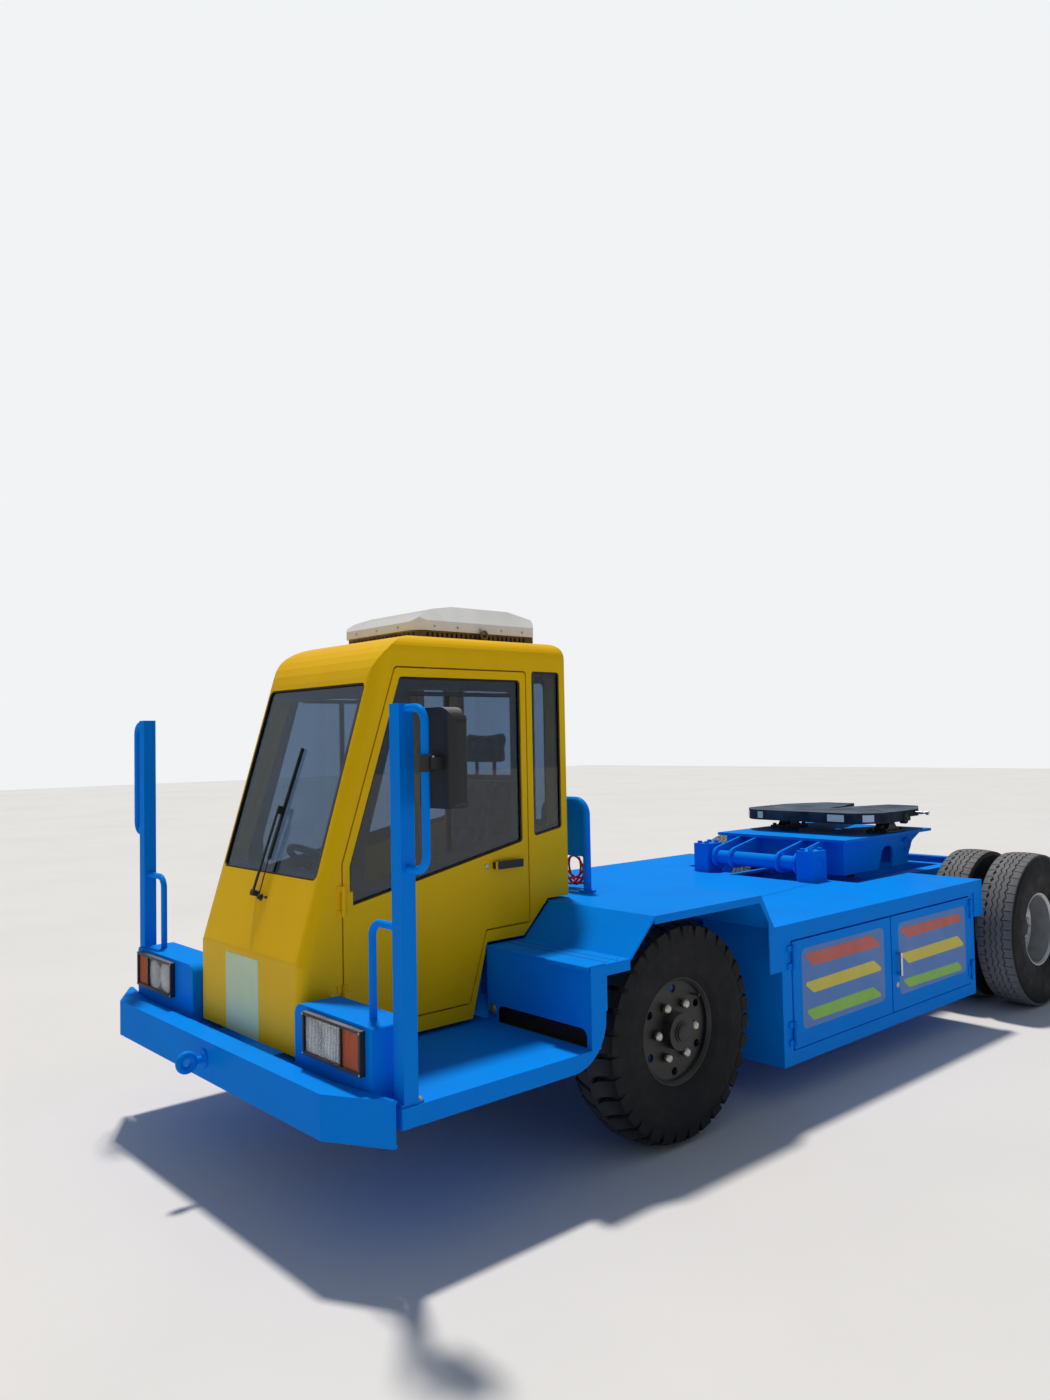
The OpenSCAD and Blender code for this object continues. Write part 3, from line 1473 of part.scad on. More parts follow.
module left_rear_wheels() { rear_wheels(1); }
module right_rear_wheels() { rear_wheels(-1); }

module rear_tyres(side) {
    color("#222226") placed() on_side(side)
        for (e = [-1, 1])
            tyre_body(rear_track_half + e * twin_pitch / 2, rear_axle_y);
}

module left_rear_tyres() { rear_tyres(1); }
module right_rear_tyres() { rear_tyres(-1); }

module drive_motor() {
    color("gray") placed()
        translate([0, rear_axle_y + 170 + seat_gap, axle_z])
            rotate([-90, 0, 0]) {
                cylinder(r = 100, h = 20);
                difference() {
                    cylinder(r = 118, h = 340);
                    // Cooling ribs
                    for (i = [0:9])
                        translate([0, 0, 40 + i * 28])
                            rotate_extrude()
                                translate([106, 0])
                                    square([20, 12]);
                }
            }
}

chassis_frame();
bumper();
left_platform();
right_platform();
deck();
left_battery_box();
right_battery_box();
batteries();
left_front_box_door();
left_rear_box_door();
right_front_box_door();
right_rear_box_door();
cab_shell();
cab_glass();
left_cab_door();
right_cab_door();
left_door_glass();
right_door_glass();
roof_unit_base();
roof_unit_cover();
seat();
dashboard();
wiper();
left_post();
right_post();
side_mirror();
lamp_frames();
headlights();
indicators();
hose_stand();
air_hose();
bearing_blocks();
lift_table();
plate_pedestals();
coupling_plate();
lift_cylinders();
lift_rods();
front_axle();
left_knuckle();
right_knuckle();
left_front_wheel();
right_front_wheel();
left_front_tyre();
right_front_tyre();
rear_axle();
left_rear_wheels();
right_rear_wheels();
left_rear_tyres();
right_rear_tyres();
drive_motor();
tail_lamps();
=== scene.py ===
# %% [markdown]
# # A towing tractor with a lifting coupling plate
# The tractor is one welded steel frame with a narrow cab at the front, two battery boxes in the
# middle and a coupling plate over the rear axle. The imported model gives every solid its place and
# its motion, so this script only dresses it: finishes, tyres, cushions, seals, bolts and lamps.

# %% Load the solids
import math

import bmesh
import bpy
import numpy as np
from mathutils import Matrix, Vector


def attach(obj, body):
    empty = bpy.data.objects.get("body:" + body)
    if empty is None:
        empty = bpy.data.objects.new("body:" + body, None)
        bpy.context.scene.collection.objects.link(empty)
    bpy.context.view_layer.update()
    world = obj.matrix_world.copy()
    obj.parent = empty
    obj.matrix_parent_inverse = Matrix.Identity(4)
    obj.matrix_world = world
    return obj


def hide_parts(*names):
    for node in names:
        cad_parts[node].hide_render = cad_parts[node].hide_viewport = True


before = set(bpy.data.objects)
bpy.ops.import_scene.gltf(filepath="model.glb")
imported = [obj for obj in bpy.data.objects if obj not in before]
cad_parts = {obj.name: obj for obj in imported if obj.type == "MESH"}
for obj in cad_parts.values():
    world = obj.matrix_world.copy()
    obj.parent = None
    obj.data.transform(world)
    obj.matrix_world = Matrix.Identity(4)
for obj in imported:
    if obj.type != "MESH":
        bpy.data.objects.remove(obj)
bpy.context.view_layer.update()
scene = bpy.context.scene

# %% [markdown]
# A drawing of the tractor counts from its bumper face and its centre plane, in millimetres. The
# row frame has its origin under the middle of the overall box. One function turns the first into
# the second, so that every size below can be read as on a drawing. Left is the tractor's own left,
# where X is positive.

# %% From drawing sizes to the row frame
CENTRE_X = 24.0
CENTRE_Y = 2615.65
SIDES = {"left": 1, "right": -1}


def at(x, y, z):
    return Vector(((x - CENTRE_X) / 1000, (y - CENTRE_Y) / 1000, z / 1000))


def linked(name, data):
    made = bpy.data.objects.new(name, data)
    scene.collection.objects.link(made)
    return made


# %% [markdown]
# The photograph was taken at head height, from the tractor's front left corner, with a wide lens.
# The camera's place and turn come from lines on the tractor that are known to be level, upright
# or a known length apart. A look direction and a roll give the camera's three axes.

# %% Camera
CAMERA_PLACE = (3.503, -4.21865, 1.5565)
LOOK_YAW = 0.8384
LOOK_PITCH = 0.0394
LOOK_ROLL = -0.0188
SENSOR_MM = 36
LENS_MM = 26.369
look = Vector((-math.sin(LOOK_YAW) * math.cos(LOOK_PITCH),
               math.cos(LOOK_YAW) * math.cos(LOOK_PITCH),
               math.sin(LOOK_PITCH)))
level = Vector((math.cos(LOOK_YAW), math.sin(LOOK_YAW), 0))
upright = level.cross(look)
right = level * math.cos(LOOK_ROLL) + upright * math.sin(LOOK_ROLL)
up = upright * math.cos(LOOK_ROLL) - level * math.sin(LOOK_ROLL)
lens_data = bpy.data.cameras.new("camera")
lens_data.sensor_width = SENSOR_MM
lens_data.lens = LENS_MM
camera = linked("camera", lens_data)
camera.matrix_world = Matrix.Translation(CAMERA_PLACE) @ Matrix((right, up, -look)).transposed().to_4x4()
scene.camera = camera
print("camera height:", round(camera.location.z, 3))

# %% [markdown]
# ## Finishes
# Each finish is one node tree that starts from what the real surface is. Colours are written as
# the screen shows them and turned to linear light by one function. A second function adds a node
# with its settings and links, so that a tree reads as a list of layers.

# %% Colour and node helpers


def linear(code):
    parts = [int(code[i:i + 2], 16) / 255 for i in (1, 3, 5)]
    return [c / 12.92 if c < 0.04045 else ((c + 0.055) / 1.055) ** 2.4 for c in parts] + [1]


def add(tree, kind, inputs=None, **settings):
    made = tree.nodes.new(kind)
    for name, value in settings.items():
        setattr(made, name, value)
    for name, value in (inputs or {}).items():
        if isinstance(value, bpy.types.NodeSocket):
            tree.links.new(value, made.inputs[name])
        else:
            made.inputs[name].default_value = value
    return made


# %% [markdown]
# Paint, rubber, moulded plastic and cast iron all share three layers: the colour drifts in
# patches where grime has settled, the gloss drifts with it, and a fine grain gives the bump. The
# sizes of patch and grain are real millimetres, and what differs is added by each finish. A finish
# that adds layers of its own starts from `layered`, every other from `finish`.

# %% Shared layers of a used surface


def layered(name, colour, grime, share, patch_mm, roughness, grain_mm, depth_mm, dust=0.0,
            dust_tone="#9A958A", **shader_inputs):
    material = bpy.data.materials.new(name)
    material.use_nodes = True
    tree = material.node_tree
    tree.nodes.clear()
    place = add(tree, "ShaderNodeTexCoord").outputs["Object"]
    patches = add(tree, "ShaderNodeTexNoise", {"Vector": place, "Scale": 1000 / patch_mm, "Detail": 6.0,
                                               "Roughness": 0.62}).outputs[0]
    grimy = add(tree, "ShaderNodeMapRange", {"Value": patches, "From Min": 0.42, "From Max": 0.72,
                                             "To Min": 0.0, "To Max": share})
    shade = add(tree, "ShaderNodeMix", {0: grimy.outputs[0], 6: linear(colour), 7: linear(grime)},
                data_type="RGBA").outputs[2]
    if dust:
        # Dust lies on what faces up, and for some finishes this pale layer is also painted highlight of the
        # light from above
        normal = add(tree, "ShaderNodeNewGeometry").outputs["Normal"]
        upward = add(tree, "ShaderNodeSeparateXYZ", {0: normal}).outputs[2]
        flatness = add(tree, "ShaderNodeMapRange", {"Value": upward, "From Min": 0.6, "From Max": 1.0,
                                                    "To Min": 0.0, "To Max": dust})
        pale_on_top = add(tree, "ShaderNodeMath", {0: flatness.outputs[0], 1: patches}, operation="MULTIPLY")
        shade = add(tree, "ShaderNodeMix", {0: pale_on_top.outputs[0], 6: shade, 7: linear(dust_tone)},
                    data_type="RGBA").outputs[2]
    gloss = add(tree, "ShaderNodeMapRange", {"Value": patches, "From Min": 0.35, "From Max": 0.75,
                                             "To Min": roughness * 0.85,
                                             "To Max": min(1, roughness * 1.3)}).outputs[0]
    grain = add(tree, "ShaderNodeTexNoise", {"Vector": place, "Scale": 1000 / grain_mm, "Detail": 3.0})
    bump = add(tree, "ShaderNodeBump", {"Height": grain.outputs[0], "Distance": depth_mm / 1000,
                                        "Strength": 0.6}).outputs[0]
    shader = add(tree, "ShaderNodeBsdfPrincipled", {"Base Color": shade, "Roughness": gloss, "Normal": bump,
                                                    **shader_inputs})
    add(tree, "ShaderNodeOutputMaterial", {0: shader.outputs[0]})
    return material, {"tree": tree, "place": place, "shade": shade, "gloss": gloss, "bump": bump,
                      "shader": shader.inputs}


def finish(*settings, **shader_inputs):
    return layered(*settings, **shader_inputs)[0]


# %% [markdown]
# The frame, decks and boxes are mild steel sheet, sprayed with azure gloss enamel. Sprayed enamel
# shows a faint orange peel of 6 to 10 mm, thin dust on top and dull scuffs where people step. The
# cab is the same enamel in yellow over pressed and filled sheet, so its peel is softer. The roof
# unit's louvred base is the yellow enamel darkened to a dull bronze, which is painted shade: the
# shade that the cover's overhang casts on it. Axles and front wheels are black, and the rear rims
# have a silver lacquer.

# %% Sprayed enamels
azure_enamel, azure_layers = layered("azure_enamel_on_steel", "#0488F4", "#067AE4", 0.5, 420, 0.46, 9, 0.12,
                                     dust=0.02, **{"Specular IOR Level": 0.0, "Coat Weight": 0.08,
                                                   "Coat Roughness": 0.25})
yellow_enamel, yellow_layers = layered("yellow_enamel_on_steel", "#F8C600", "#EAB000", 0.45, 500, 0.44, 14,
                                       0.10, dust=0.02, **{"Specular IOR Level": 0.08, "Coat Weight": 0.12,
                                                           "Coat Roughness": 0.25})
for layers in (azure_layers, yellow_layers):
    # Scuffs break the gloss. They are long across the tractor and low in height
    tree = layers["tree"]
    stretched = add(tree, "ShaderNodeMapping", {"Vector": layers["place"], "Scale": (6, 25, 60)})
    scuffs = add(tree, "ShaderNodeTexNoise", {"Vector": stretched.outputs[0], "Scale": 1.0, "Detail": 4.0})
    worn = add(tree, "ShaderNodeMapRange", {"Value": scuffs.outputs[0], "From Min": 0.62, "From Max": 0.72,
                                            "To Min": 0.0, "To Max": 0.22})
    dulled = add(tree, "ShaderNodeMath", {0: layers["gloss"], 1: worn.outputs[0]}, operation="ADD")
    tree.links.new(dulled.outputs[0], layers["shader"]["Roughness"])
# Painted shade: the roof unit's yellow base is darkened for the shade under the cover
shaded_yellow_enamel = finish("yellow_enamel_with_painted_shade", "#6A5216", "#2E2818", 0.7, 60, 0.45, 6, 0.1, dust=0.1)
chassis_black = finish("chassis_black_enamel", "#16171A", "#3A3833", 0.6, 260, 0.5, 5, 0.15, dust=0.5)
wheel_silver = finish("wheel_aluminium_lacquer", "#B9BDC2", "#8D8A84", 0.6, 90, 0.38, 2.5, 0.05,
                      dust=0.2, Metallic=0.65)
print("enamels:", azure_enamel.name, yellow_enamel.name, chassis_black.name, wheel_silver.name)

# %% [markdown]
# The coupling plate is cast steel, blacked and then greased, so its top is dark and half glossy.
# The pale blue-grey on what faces up is partly dust caught in the grease and partly painted
# reflection of the sky. Rods and pins are ground steel with a very fine grain. Zinc-plated
# fasteners are a little yellow, and reflectors are silvered.

# %% Bare and greased metals
# The blue-grey top layer is partly dust and partly painted reflection of the sky
greased_casting = finish("greased_cast_steel", "#272C35", "#454E5A", 0.9, 150, 0.5, 7, 0.5, dust=0.9,
                         dust_tone="#75839A", **{"Specular IOR Level": 0.0, "Coat Weight": 0.06,
                                                 "Coat Roughness": 0.35})
ground_steel = finish("ground_steel", "#C9CCCF", "#8F9092", 0.4, 60, 0.22, 0.8, 0.01, Metallic=1.0)
zinc_plate = finish("zinc_plated_steel", "#B8B7AE", "#7E7B70", 0.5, 30, 0.36, 1.2, 0.02, Metallic=0.9)
mirror_silver = finish("silvered_reflector", "#E6E8EA", "#C8CACC", 0.2, 40, 0.07, 3, 0.01, Metallic=1.0)

# %% [markdown]
# Moulded parts: black ABS has a fine spark-eroded grain, and the pale grey on what faces up is
# painted highlight of the light from above. The roof unit's cover is white glass fibre with a gelcoat,
# battery cases are polypropylene, and seals are matt EPDM rubber. The floor mat is vinyl, and the air
# hose is glossy polyurethane.

# %% Plastics, rubber and vinyl
# The pale grey layer on the top faces of black ABS is painted highlight
black_abs = finish("black_moulded_abs", "#191B1E", "#2C2D2F", 0.5, 120, 0.5, 1.6, 0.06, dust=0.8,
                   dust_tone="#A6A4AC")
white_gelcoat = finish("white_gelcoat", "#E9EBEC", "#C9C9C2", 0.5, 260, 0.3, 18, 0.12, dust=0.15,
                       **{"Coat Weight": 0.3})
battery_plastic = finish("battery_polypropylene", "#3B3E43", "#55575A", 0.5, 140, 0.55, 1.5, 0.04, dust=0.3)
seal_rubber = finish("epdm_seal_rubber", "#131416", "#2B2B2A", 0.5, 60, 0.7, 1.4, 0.05)
mat_vinyl = finish("floor_mat_vinyl", "#26282B", "#4A4740", 0.7, 110, 0.62, 2.2, 0.2)
hose_plastic = finish("red_polyurethane_hose", "#C8102A", "#A40D26", 0.4, 30, 0.3, 2, 0.02,
                      **{"Coat Weight": 0.2, "Subsurface Weight": 0.05})

# %% [markdown]
# Panes are 5 mm safety glass with a blue-grey tint, and their edges carry a printed black band
# that hides the glue. The band is enamel fired into the glass, so it is smooth and very dark. The
# same very dark finish on the doors' panes is painted shade of the cab's inside. Lamp lenses are
# clear, orange or red polycarbonate, fluted so that they spread the light. A wave texture of scale
# 1 has 3.18 bands to the metre, which turns the flutes' pitch into a scale.

# %% Glass and lenses
pane_glass = finish("tinted_safety_glass", "#90A2B6", "#8698AC", 0.2, 300, 0.02, 60, 0.01,
                    **{"Transmission Weight": 1.0, "IOR": 1.5})
black_band_and_shade = finish("fired_band_and_painted_shade", "#0A0B0D", "#16171A", 0.3, 90, 0.12, 20, 0.01)
BANDS_PER_METRE = 3.18


def fluted_lens(name, colour, shade, pitch_mm, clear):
    # Flutes run up and down the lens, one every pitch_mm
    material, layers = layered(name, colour, shade, 0.25, 60, 0.1, 4, 0.02,
                               **{"Transmission Weight": clear, "IOR": 1.58})
    tree = layers["tree"]
    flutes = add(tree, "ShaderNodeTexWave", {"Vector": layers["place"],
                                             "Scale": 1000 / pitch_mm / BANDS_PER_METRE}, bands_direction="X")
    ribs = add(tree, "ShaderNodeBump", {"Height": flutes.outputs[1], "Distance": 0.0015,
                                        "Normal": layers["bump"]})
    tree.links.new(ribs.outputs[0], layers["shader"]["Normal"])
    return material


clear_lens = fluted_lens("clear_polycarbonate_lens", "#F2F6F8", "#DCE3E6", 9, 0.9)
orange_lens = fluted_lens("orange_polycarbonate_lens", "#F0641E", "#D9520F", 7, 0.35)
red_lens = fluted_lens("red_polycarbonate_lens", "#C2141C", "#9C0E16", 8, 0.3)

# %% [markdown]
# Film and blank plates: the doors of the battery boxes carry a grey-blue film with three printed
# stripes, and a few places on the tractor hold plain plates with nothing on them. Film is cast
# vinyl, flat and slightly duller than the enamel round it.

# %% Films and plates


def vinyl_film(name, colour, shade):
    return finish(name, colour, shade, 0.4, 160, 0.4, 30, 0.04)


panel_film = vinyl_film("panel_film", "#3C78C4", "#2F78CC")
red_film = vinyl_film("red_film", "#C4564E", "#B04F49")
yellow_film = vinyl_film("yellow_film", "#D8C83E", "#C6B53A")
green_film = vinyl_film("green_film", "#86C63F", "#79B13B")
pale_plate = vinyl_film("pale_blank_plate", "#CFE3B8", "#C2D3AC")
cream_plate = vinyl_film("cream_blank_plate", "#E4DFC4", "#D2CCB2")
white_plate = vinyl_film("white_blank_plate", "#E2E4E6", "#D0D3D6")

# %% [markdown]
# A tyre is vulcanised rubber with carbon black. Its sidewall is moulded with fine rings, and the
# tops of its tread are paler grey, while the grooves stay dark. That pale grey is partly road dust
# and partly painted light: the rear tyres' tops are much paler than the front ones' for the sunlight
# on them. The distance from the wheel's axis tells the parts of a tyre apart, so the pattern stays
# on them while the wheel turns.

# %% Tyre rubber
AXLE_Z = 428
FRONT_AXLE_Y = 1488
REAR_AXLE_Y = 4500
RING_PITCH = 0.009


def tyre_rubber(name, axle_y, top_dust_and_light):
    material, layers = layered(name, "#15161A", "#25262A", 0.6, 70, 0.74, 3, 0.12,
                               **{"Specular IOR Level": 0.25})
    tree = layers["tree"]
    centre = at(CENTRE_X, axle_y, AXLE_Z)
    flat = add(tree, "ShaderNodeMapping", {"Vector": layers["place"], "Location": (0, -centre.y, -centre.z)})
    crushed = add(tree, "ShaderNodeVectorMath", {0: flat.outputs[0], 1: (0, 1, 1)}, operation="MULTIPLY")
    radius = add(tree, "ShaderNodeVectorMath", {0: crushed.outputs[0]}, operation="LENGTH").outputs["Value"]
    pale_tops = add(tree, "ShaderNodeMapRange", {"Value": radius, "From Min": 0.405, "From Max": 0.424,
                                             "To Min": 0.0, "To Max": top_dust_and_light})
    shade = add(tree, "ShaderNodeMix", {0: pale_tops.outputs[0], 6: layers["shade"], 7: linear("#7C7F85")},
                data_type="RGBA")
    tree.links.new(shade.outputs[2], layers["shader"]["Base Color"])
    # Moulded rings fade out from the sidewall towards the tread
    phase = add(tree, "ShaderNodeMath", {0: radius, 1: 2 * math.pi / RING_PITCH}, operation="MULTIPLY")
    ripple = add(tree, "ShaderNodeMath", {0: phase.outputs[0]}, operation="SINE")
    fade = add(tree, "ShaderNodeMapRange", {"Value": radius, "From Min": 0.30, "From Max": 0.34,
                                            "To Min": 1.0, "To Max": 0.0})
    rings = add(tree, "ShaderNodeMath", {0: ripple.outputs[0], 1: fade.outputs[0]}, operation="MULTIPLY")
    bump = add(tree, "ShaderNodeBump", {"Height": rings.outputs[0], "Distance": 0.0006, "Strength": 0.35,
                                        "Normal": layers["bump"]})
    tree.links.new(bump.outputs[0], layers["shader"]["Normal"])
    return material


# The rear tyres' much paler tread tops are partly painted sunlight, partly dust
front_rubber = tyre_rubber("front_tyre_rubber", FRONT_AXLE_Y, 0.18)
rear_rubber = tyre_rubber("rear_tyre_rubber", REAR_AXLE_Y, 0.8)

# %% [markdown]
# The seat has a dark blue plush cover with a mottled pattern of leaves about 55 mm across. Plush
# catches light along its edges, which the sheen gives, and its short pile is drawn as a bump that
# is coarser than the real one so that it shows.

# %% Seat cloth
LEAF_MM = 55
seat_plush, layers = layered("dark_blue_plush", "#1C2740", "#34425F", 0.9, 60, 0.9, 3.5, 0.8,
                             **{"Sheen Weight": 0.5, "Sheen Roughness": 0.4})
tree = layers["tree"]
leaves = add(tree, "ShaderNodeTexVoronoi", {"Vector": layers["place"], "Scale": 1000 / LEAF_MM,
                                            "Randomness": 0.9}, feature="SMOOTH_F1")
leafy = add(tree, "ShaderNodeMapRange", {"Value": leaves.outputs[0], "From Min": 0.18, "From Max": 0.5,
                                         "To Min": 0.6, "To Max": 0.0})
mottled = add(tree, "ShaderNodeMix", {0: leafy.outputs[0], 6: layers["shade"], 7: linear("#56658A")},
              data_type="RGBA")
tree.links.new(mottled.outputs[2], layers["shader"]["Base Color"])

# %% [markdown]
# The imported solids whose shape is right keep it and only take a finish. A table names the solids
# of each finish, and every other solid is azure enamel.

# %% Finishes of the solids
SOLIDS = [
    (yellow_enamel, "cab_shell left_cab_door right_cab_door"), (shaded_yellow_enamel, "roof_unit_base"),
    (white_gelcoat, "roof_unit_cover"), (pane_glass, "cab_glass left_door_glass right_door_glass"),
    (black_abs, "wiper dashboard side_mirror lamp_frames"), (battery_plastic, "batteries"),
    (greased_casting, "coupling_plate"), (ground_steel, "lift_rods"),
    (chassis_black, "plate_pedestals lift_cylinders front_axle left_knuckle right_knuckle"
                    " left_front_wheel right_front_wheel rear_axle"),
    (wheel_silver, "left_rear_wheels right_rear_wheels drive_motor"), (clear_lens, "headlights"),
    (orange_lens, "indicators"), (red_lens, "tail_lamps"), (hose_plastic, "air_hose"), (seat_plush, "seat"),
    (front_rubber, "left_front_tyre right_front_tyre"), (rear_rubber, "left_rear_tyres right_rear_tyres"),
]
node_finish = {name: material for material, names in SOLIDS for name in names.split()}
for name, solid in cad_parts.items():
    solid.data.materials.clear()
    solid.data.materials.append(node_finish.get(name, azure_enamel))
print("solids with a finish:", len(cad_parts))

# %% [markdown]
# ## Making pieces
# Three ways of making a shape cover most of the tractor's trim. A flat outline is pushed along a
# direction, as a laser-cut plate is. A half profile is turned about an axis, as on a lathe. And a
# section follows a path, as a seal or a weld bead does. The first two are skins over a row of
# closed loops with equal numbers of points, and so are flat frames, tyres and the roof's back. The
# third is a Geometry Nodes tree of the next cell.

# %% Plates and turned parts
SHARP = math.radians(32)


def cleaned(mesh):
    # Merges doubled points and turns the faces outwards
    work = bmesh.new()
    work.from_mesh(mesh)
    bmesh.ops.remove_doubles(work, verts=work.verts, dist=1e-6)
    bmesh.ops.recalc_face_normals(work, faces=work.faces)
    work.to_mesh(mesh)
    work.free()
    return mesh


def show(name, mesh, material, body, soften_mm=0.0):
    # Makes a finished piece that rides on a body
    cleaned(mesh)
    mesh.materials.clear()
    mesh.materials.append(material)
    made = linked(name, mesh)
    mesh.shade_smooth()
    mesh.set_sharp_from_angle(angle=SHARP)
    if soften_mm:
        edge = made.modifiers.new("edge", "BEVEL")
        edge.width = soften_mm / 1000
        edge.segments = 2
        edge.limit_method = "ANGLE"
        edge.harden_normals = True
    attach(made, body)
    return made


def mesh_of(points, faces):
    mesh = bpy.data.meshes.new("shape")
    mesh.from_pydata([tuple(p) for p in points], [], faces)
    return mesh


def joined(meshes):
    work = bmesh.new()
    for mesh in meshes:
        work.from_mesh(mesh)
    whole = bpy.data.meshes.new("joined")
    work.to_mesh(whole)
    work.free()
    return whole


def skin(loops, wrap=False):
    # Faces from each loop to the next. With wrap the last one joins the first, else both ends close
    n, count = len(loops[0]), len(loops)
    faces = []
    for k in range(count if wrap else count - 1):
        here, there = k * n, (k + 1) % count * n
        faces += [[here + i, here + (i + 1) % n, there + (i + 1) % n, there + i] for i in range(n)]
    if not wrap:
        faces += [list(range(n))[::-1], list(range(n * count - n, n * count))]
    return mesh_of([p for loop in loops for p in loop], faces)


def shifted(outline, step):
    return [Vector(p) + Vector(step) for p in outline]


def plate(outline, thickness):
    # outline: points in the row frame, thickness: a vector
    return skin([outline, shifted(outline, thickness)])


def slab(axis, level, outline, thick_mm):
    # A plate square to an axis of the drawing. outline: points on the other two axes, in their order
    k = "xyz".index(axis)
    return plate([at(*p[:k], level, *p[k:]) for p in outline], [thick_mm / 1000 * (i == k) for i in range(3)])


def band(outer, inner, thickness):
    # A flat frame between two outlines with the same number of points
    return skin([outer, inner, shifted(inner, thickness), shifted(outer, thickness)], wrap=True)


def turned(profile, centre, axis, steps=32):
    # profile: [radius, distance along the axis] in millimetres, from one end to the other
    axis = Vector(axis).normalized()
    side = axis.orthogonal().normalized()
    other = axis.cross(side)
    angles = [2 * math.pi * i / steps for i in range(steps)]
    spokes = [side * math.cos(a) + other * math.sin(a) for a in angles]
    return skin([[Vector(centre) + axis * along / 1000 + spoke * max(radius, 0.01) / 1000 for spoke in spokes]
                 for radius, along in profile])


def rounded(corners, steps=6):
    # corners: [a, b, radius], back as [a, b] with every corner turned into an arc
    made = []
    for k, (a, b, r) in enumerate(corners):
        here = Vector((a, b))
        back = (Vector(corners[k - 1][:2]) - here).normalized()
        on = (Vector(corners[(k + 1) % len(corners)][:2]) - here).normalized()
        half = back.angle(on) / 2
        middle = here + (back + on).normalized() * (r / math.sin(half))
        start = here + back * (r / math.tan(half)) - middle
        end = here + on * (r / math.tan(half)) - middle
        for i in range(steps + 1):
            spoke = start.lerp(end, i / steps)
            made.append(middle + (spoke.normalized() * r if r else spoke))
    return made


def rounded_box(a0, b0, a1, b1, r):
    return rounded([(a0, b0, r), (a1, b0, r), (a1, b1, r), (a0, b1, r)])


# %% [markdown]
# What repeats comes from two small Geometry Nodes trees: a row sets copies of a part at equal
# steps along a line, and a ring turns copies about an axis. A third sweeps a rectangle with
# rounded corners along a path. Each ends in plain mesh, because an export drops instances.

# %% Trees for rows, rings and swept sections
KINDS = {"Source": "Object", "Finish": "Material", "Count": "Int", "First": "Vector", "Pace": "Vector",
         "Axis": "Vector", "Centre": "Vector"}


def new_tree(name, *labels):
    # Starts a tree with a source, a finish and more inputs, which are numbers if not told otherwise
    tree = bpy.data.node_groups.new(name, "GeometryNodeTree")
    tree.interface.new_socket(name="Geometry", in_out="OUTPUT", socket_type="NodeSocketGeometry")
    keys = {}
    for label in ("Source", "Finish", *labels):
        kind = "NodeSocket" + KINDS.get(label, "Float")
        keys[label] = tree.interface.new_socket(name=label, in_out="INPUT", socket_type=kind).identifier
    given = add(tree, "NodeGroupInput").outputs
    source = add(tree, "GeometryNodeObjectInfo", {"Object": given["Source"]}).outputs["Geometry"]
    return tree, keys, given, source


def end_tree(tree, geometry, given):
    real = add(tree, "GeometryNodeRealizeInstances", {0: geometry})
    painted = add(tree, "GeometryNodeSetMaterial", {"Geometry": real.outputs[0], "Material": given["Finish"]})
    add(tree, "NodeGroupOutput", {0: painted.outputs[0]})


row_tree, row_keys, given, source = new_tree("row_of_parts", "Count", "First", "Pace")
line = add(row_tree, "GeometryNodeMeshLine", {"Count": given["Count"], "Start Location": given["First"],
                                              "Offset": given["Pace"]})
copies = add(row_tree, "GeometryNodeInstanceOnPoints", {"Points": line.outputs[0], "Instance": source})
end_tree(row_tree, copies.outputs[0], given)

ring_tree, ring_keys, given, source = new_tree("ring_of_parts", "Count", "Start", "Step", "Axis", "Centre")
line = add(ring_tree, "GeometryNodeMeshLine", {"Count": given["Count"], "Offset": (0, 0, 0)})
number = add(ring_tree, "GeometryNodeInputIndex")
angle = add(ring_tree, "ShaderNodeMath", {0: number.outputs[0], 1: given["Step"], 2: given["Start"]},
            operation="MULTIPLY_ADD")
spin = add(ring_tree, "FunctionNodeAxisAngleToRotation", {"Axis": given["Axis"], "Angle": angle.outputs[0]})
copies = add(ring_tree, "GeometryNodeInstanceOnPoints", {"Points": line.outputs[0], "Instance": source,
                                                         "Rotation": spin.outputs[0]})
moved = add(ring_tree, "GeometryNodeTransform", {"Geometry": copies.outputs[0],
                                                 "Translation": given["Centre"]})
end_tree(ring_tree, moved.outputs[0], given)

sweep_tree, sweep_keys, given, source = new_tree("swept_section", "Width", "Height", "Rounding")
section = add(sweep_tree, "GeometryNodeCurvePrimitiveQuadrilateral", {"Width": given["Width"],
                                                                      "Height": given["Height"]})
eased = add(sweep_tree, "GeometryNodeFilletCurve", {"Curve": section.outputs[0], "Radius": given["Rounding"],
                                                    "Limit Radius": True, "Count": 3}, mode="POLY")
swept = add(sweep_tree, "GeometryNodeCurveToMesh", {"Curve": source, "Profile Curve": eased.outputs[0],
                                                    "Fill Caps": True})
end_tree(sweep_tree, swept.outputs[0], given)


def result_of(made):
    # The mesh that an object's modifiers give
    return bpy.data.meshes.new_from_object(made.evaluated_get(bpy.context.evaluated_depsgraph_get()))


def grow(tree, keys, data, material, **values):
    # Runs a tree once on a mesh or curve and returns the plain mesh
    source = linked("source", data)
    holder = linked("holder", bpy.data.meshes.new("holder"))
    modifier = holder.modifiers.new("grow", "NODES")
    modifier.node_group = tree
    for label, value in {"Source": source, "Finish": material, **values}.items():
        modifier[keys[label]] = value
    mesh = result_of(holder)
    bpy.data.objects.remove(holder)
    bpy.data.objects.remove(source)
    return mesh


def row(mesh, count, first, pace, material):
    return grow(row_tree, row_keys, mesh, material, Count=count, First=list(first), Pace=list(pace))


def ring(mesh, count, start, axis, centre, material):
    return grow(ring_tree, ring_keys, mesh, material, Count=count, Start=float(start),
                Step=2 * math.pi / count, Axis=list(axis), Centre=list(centre))


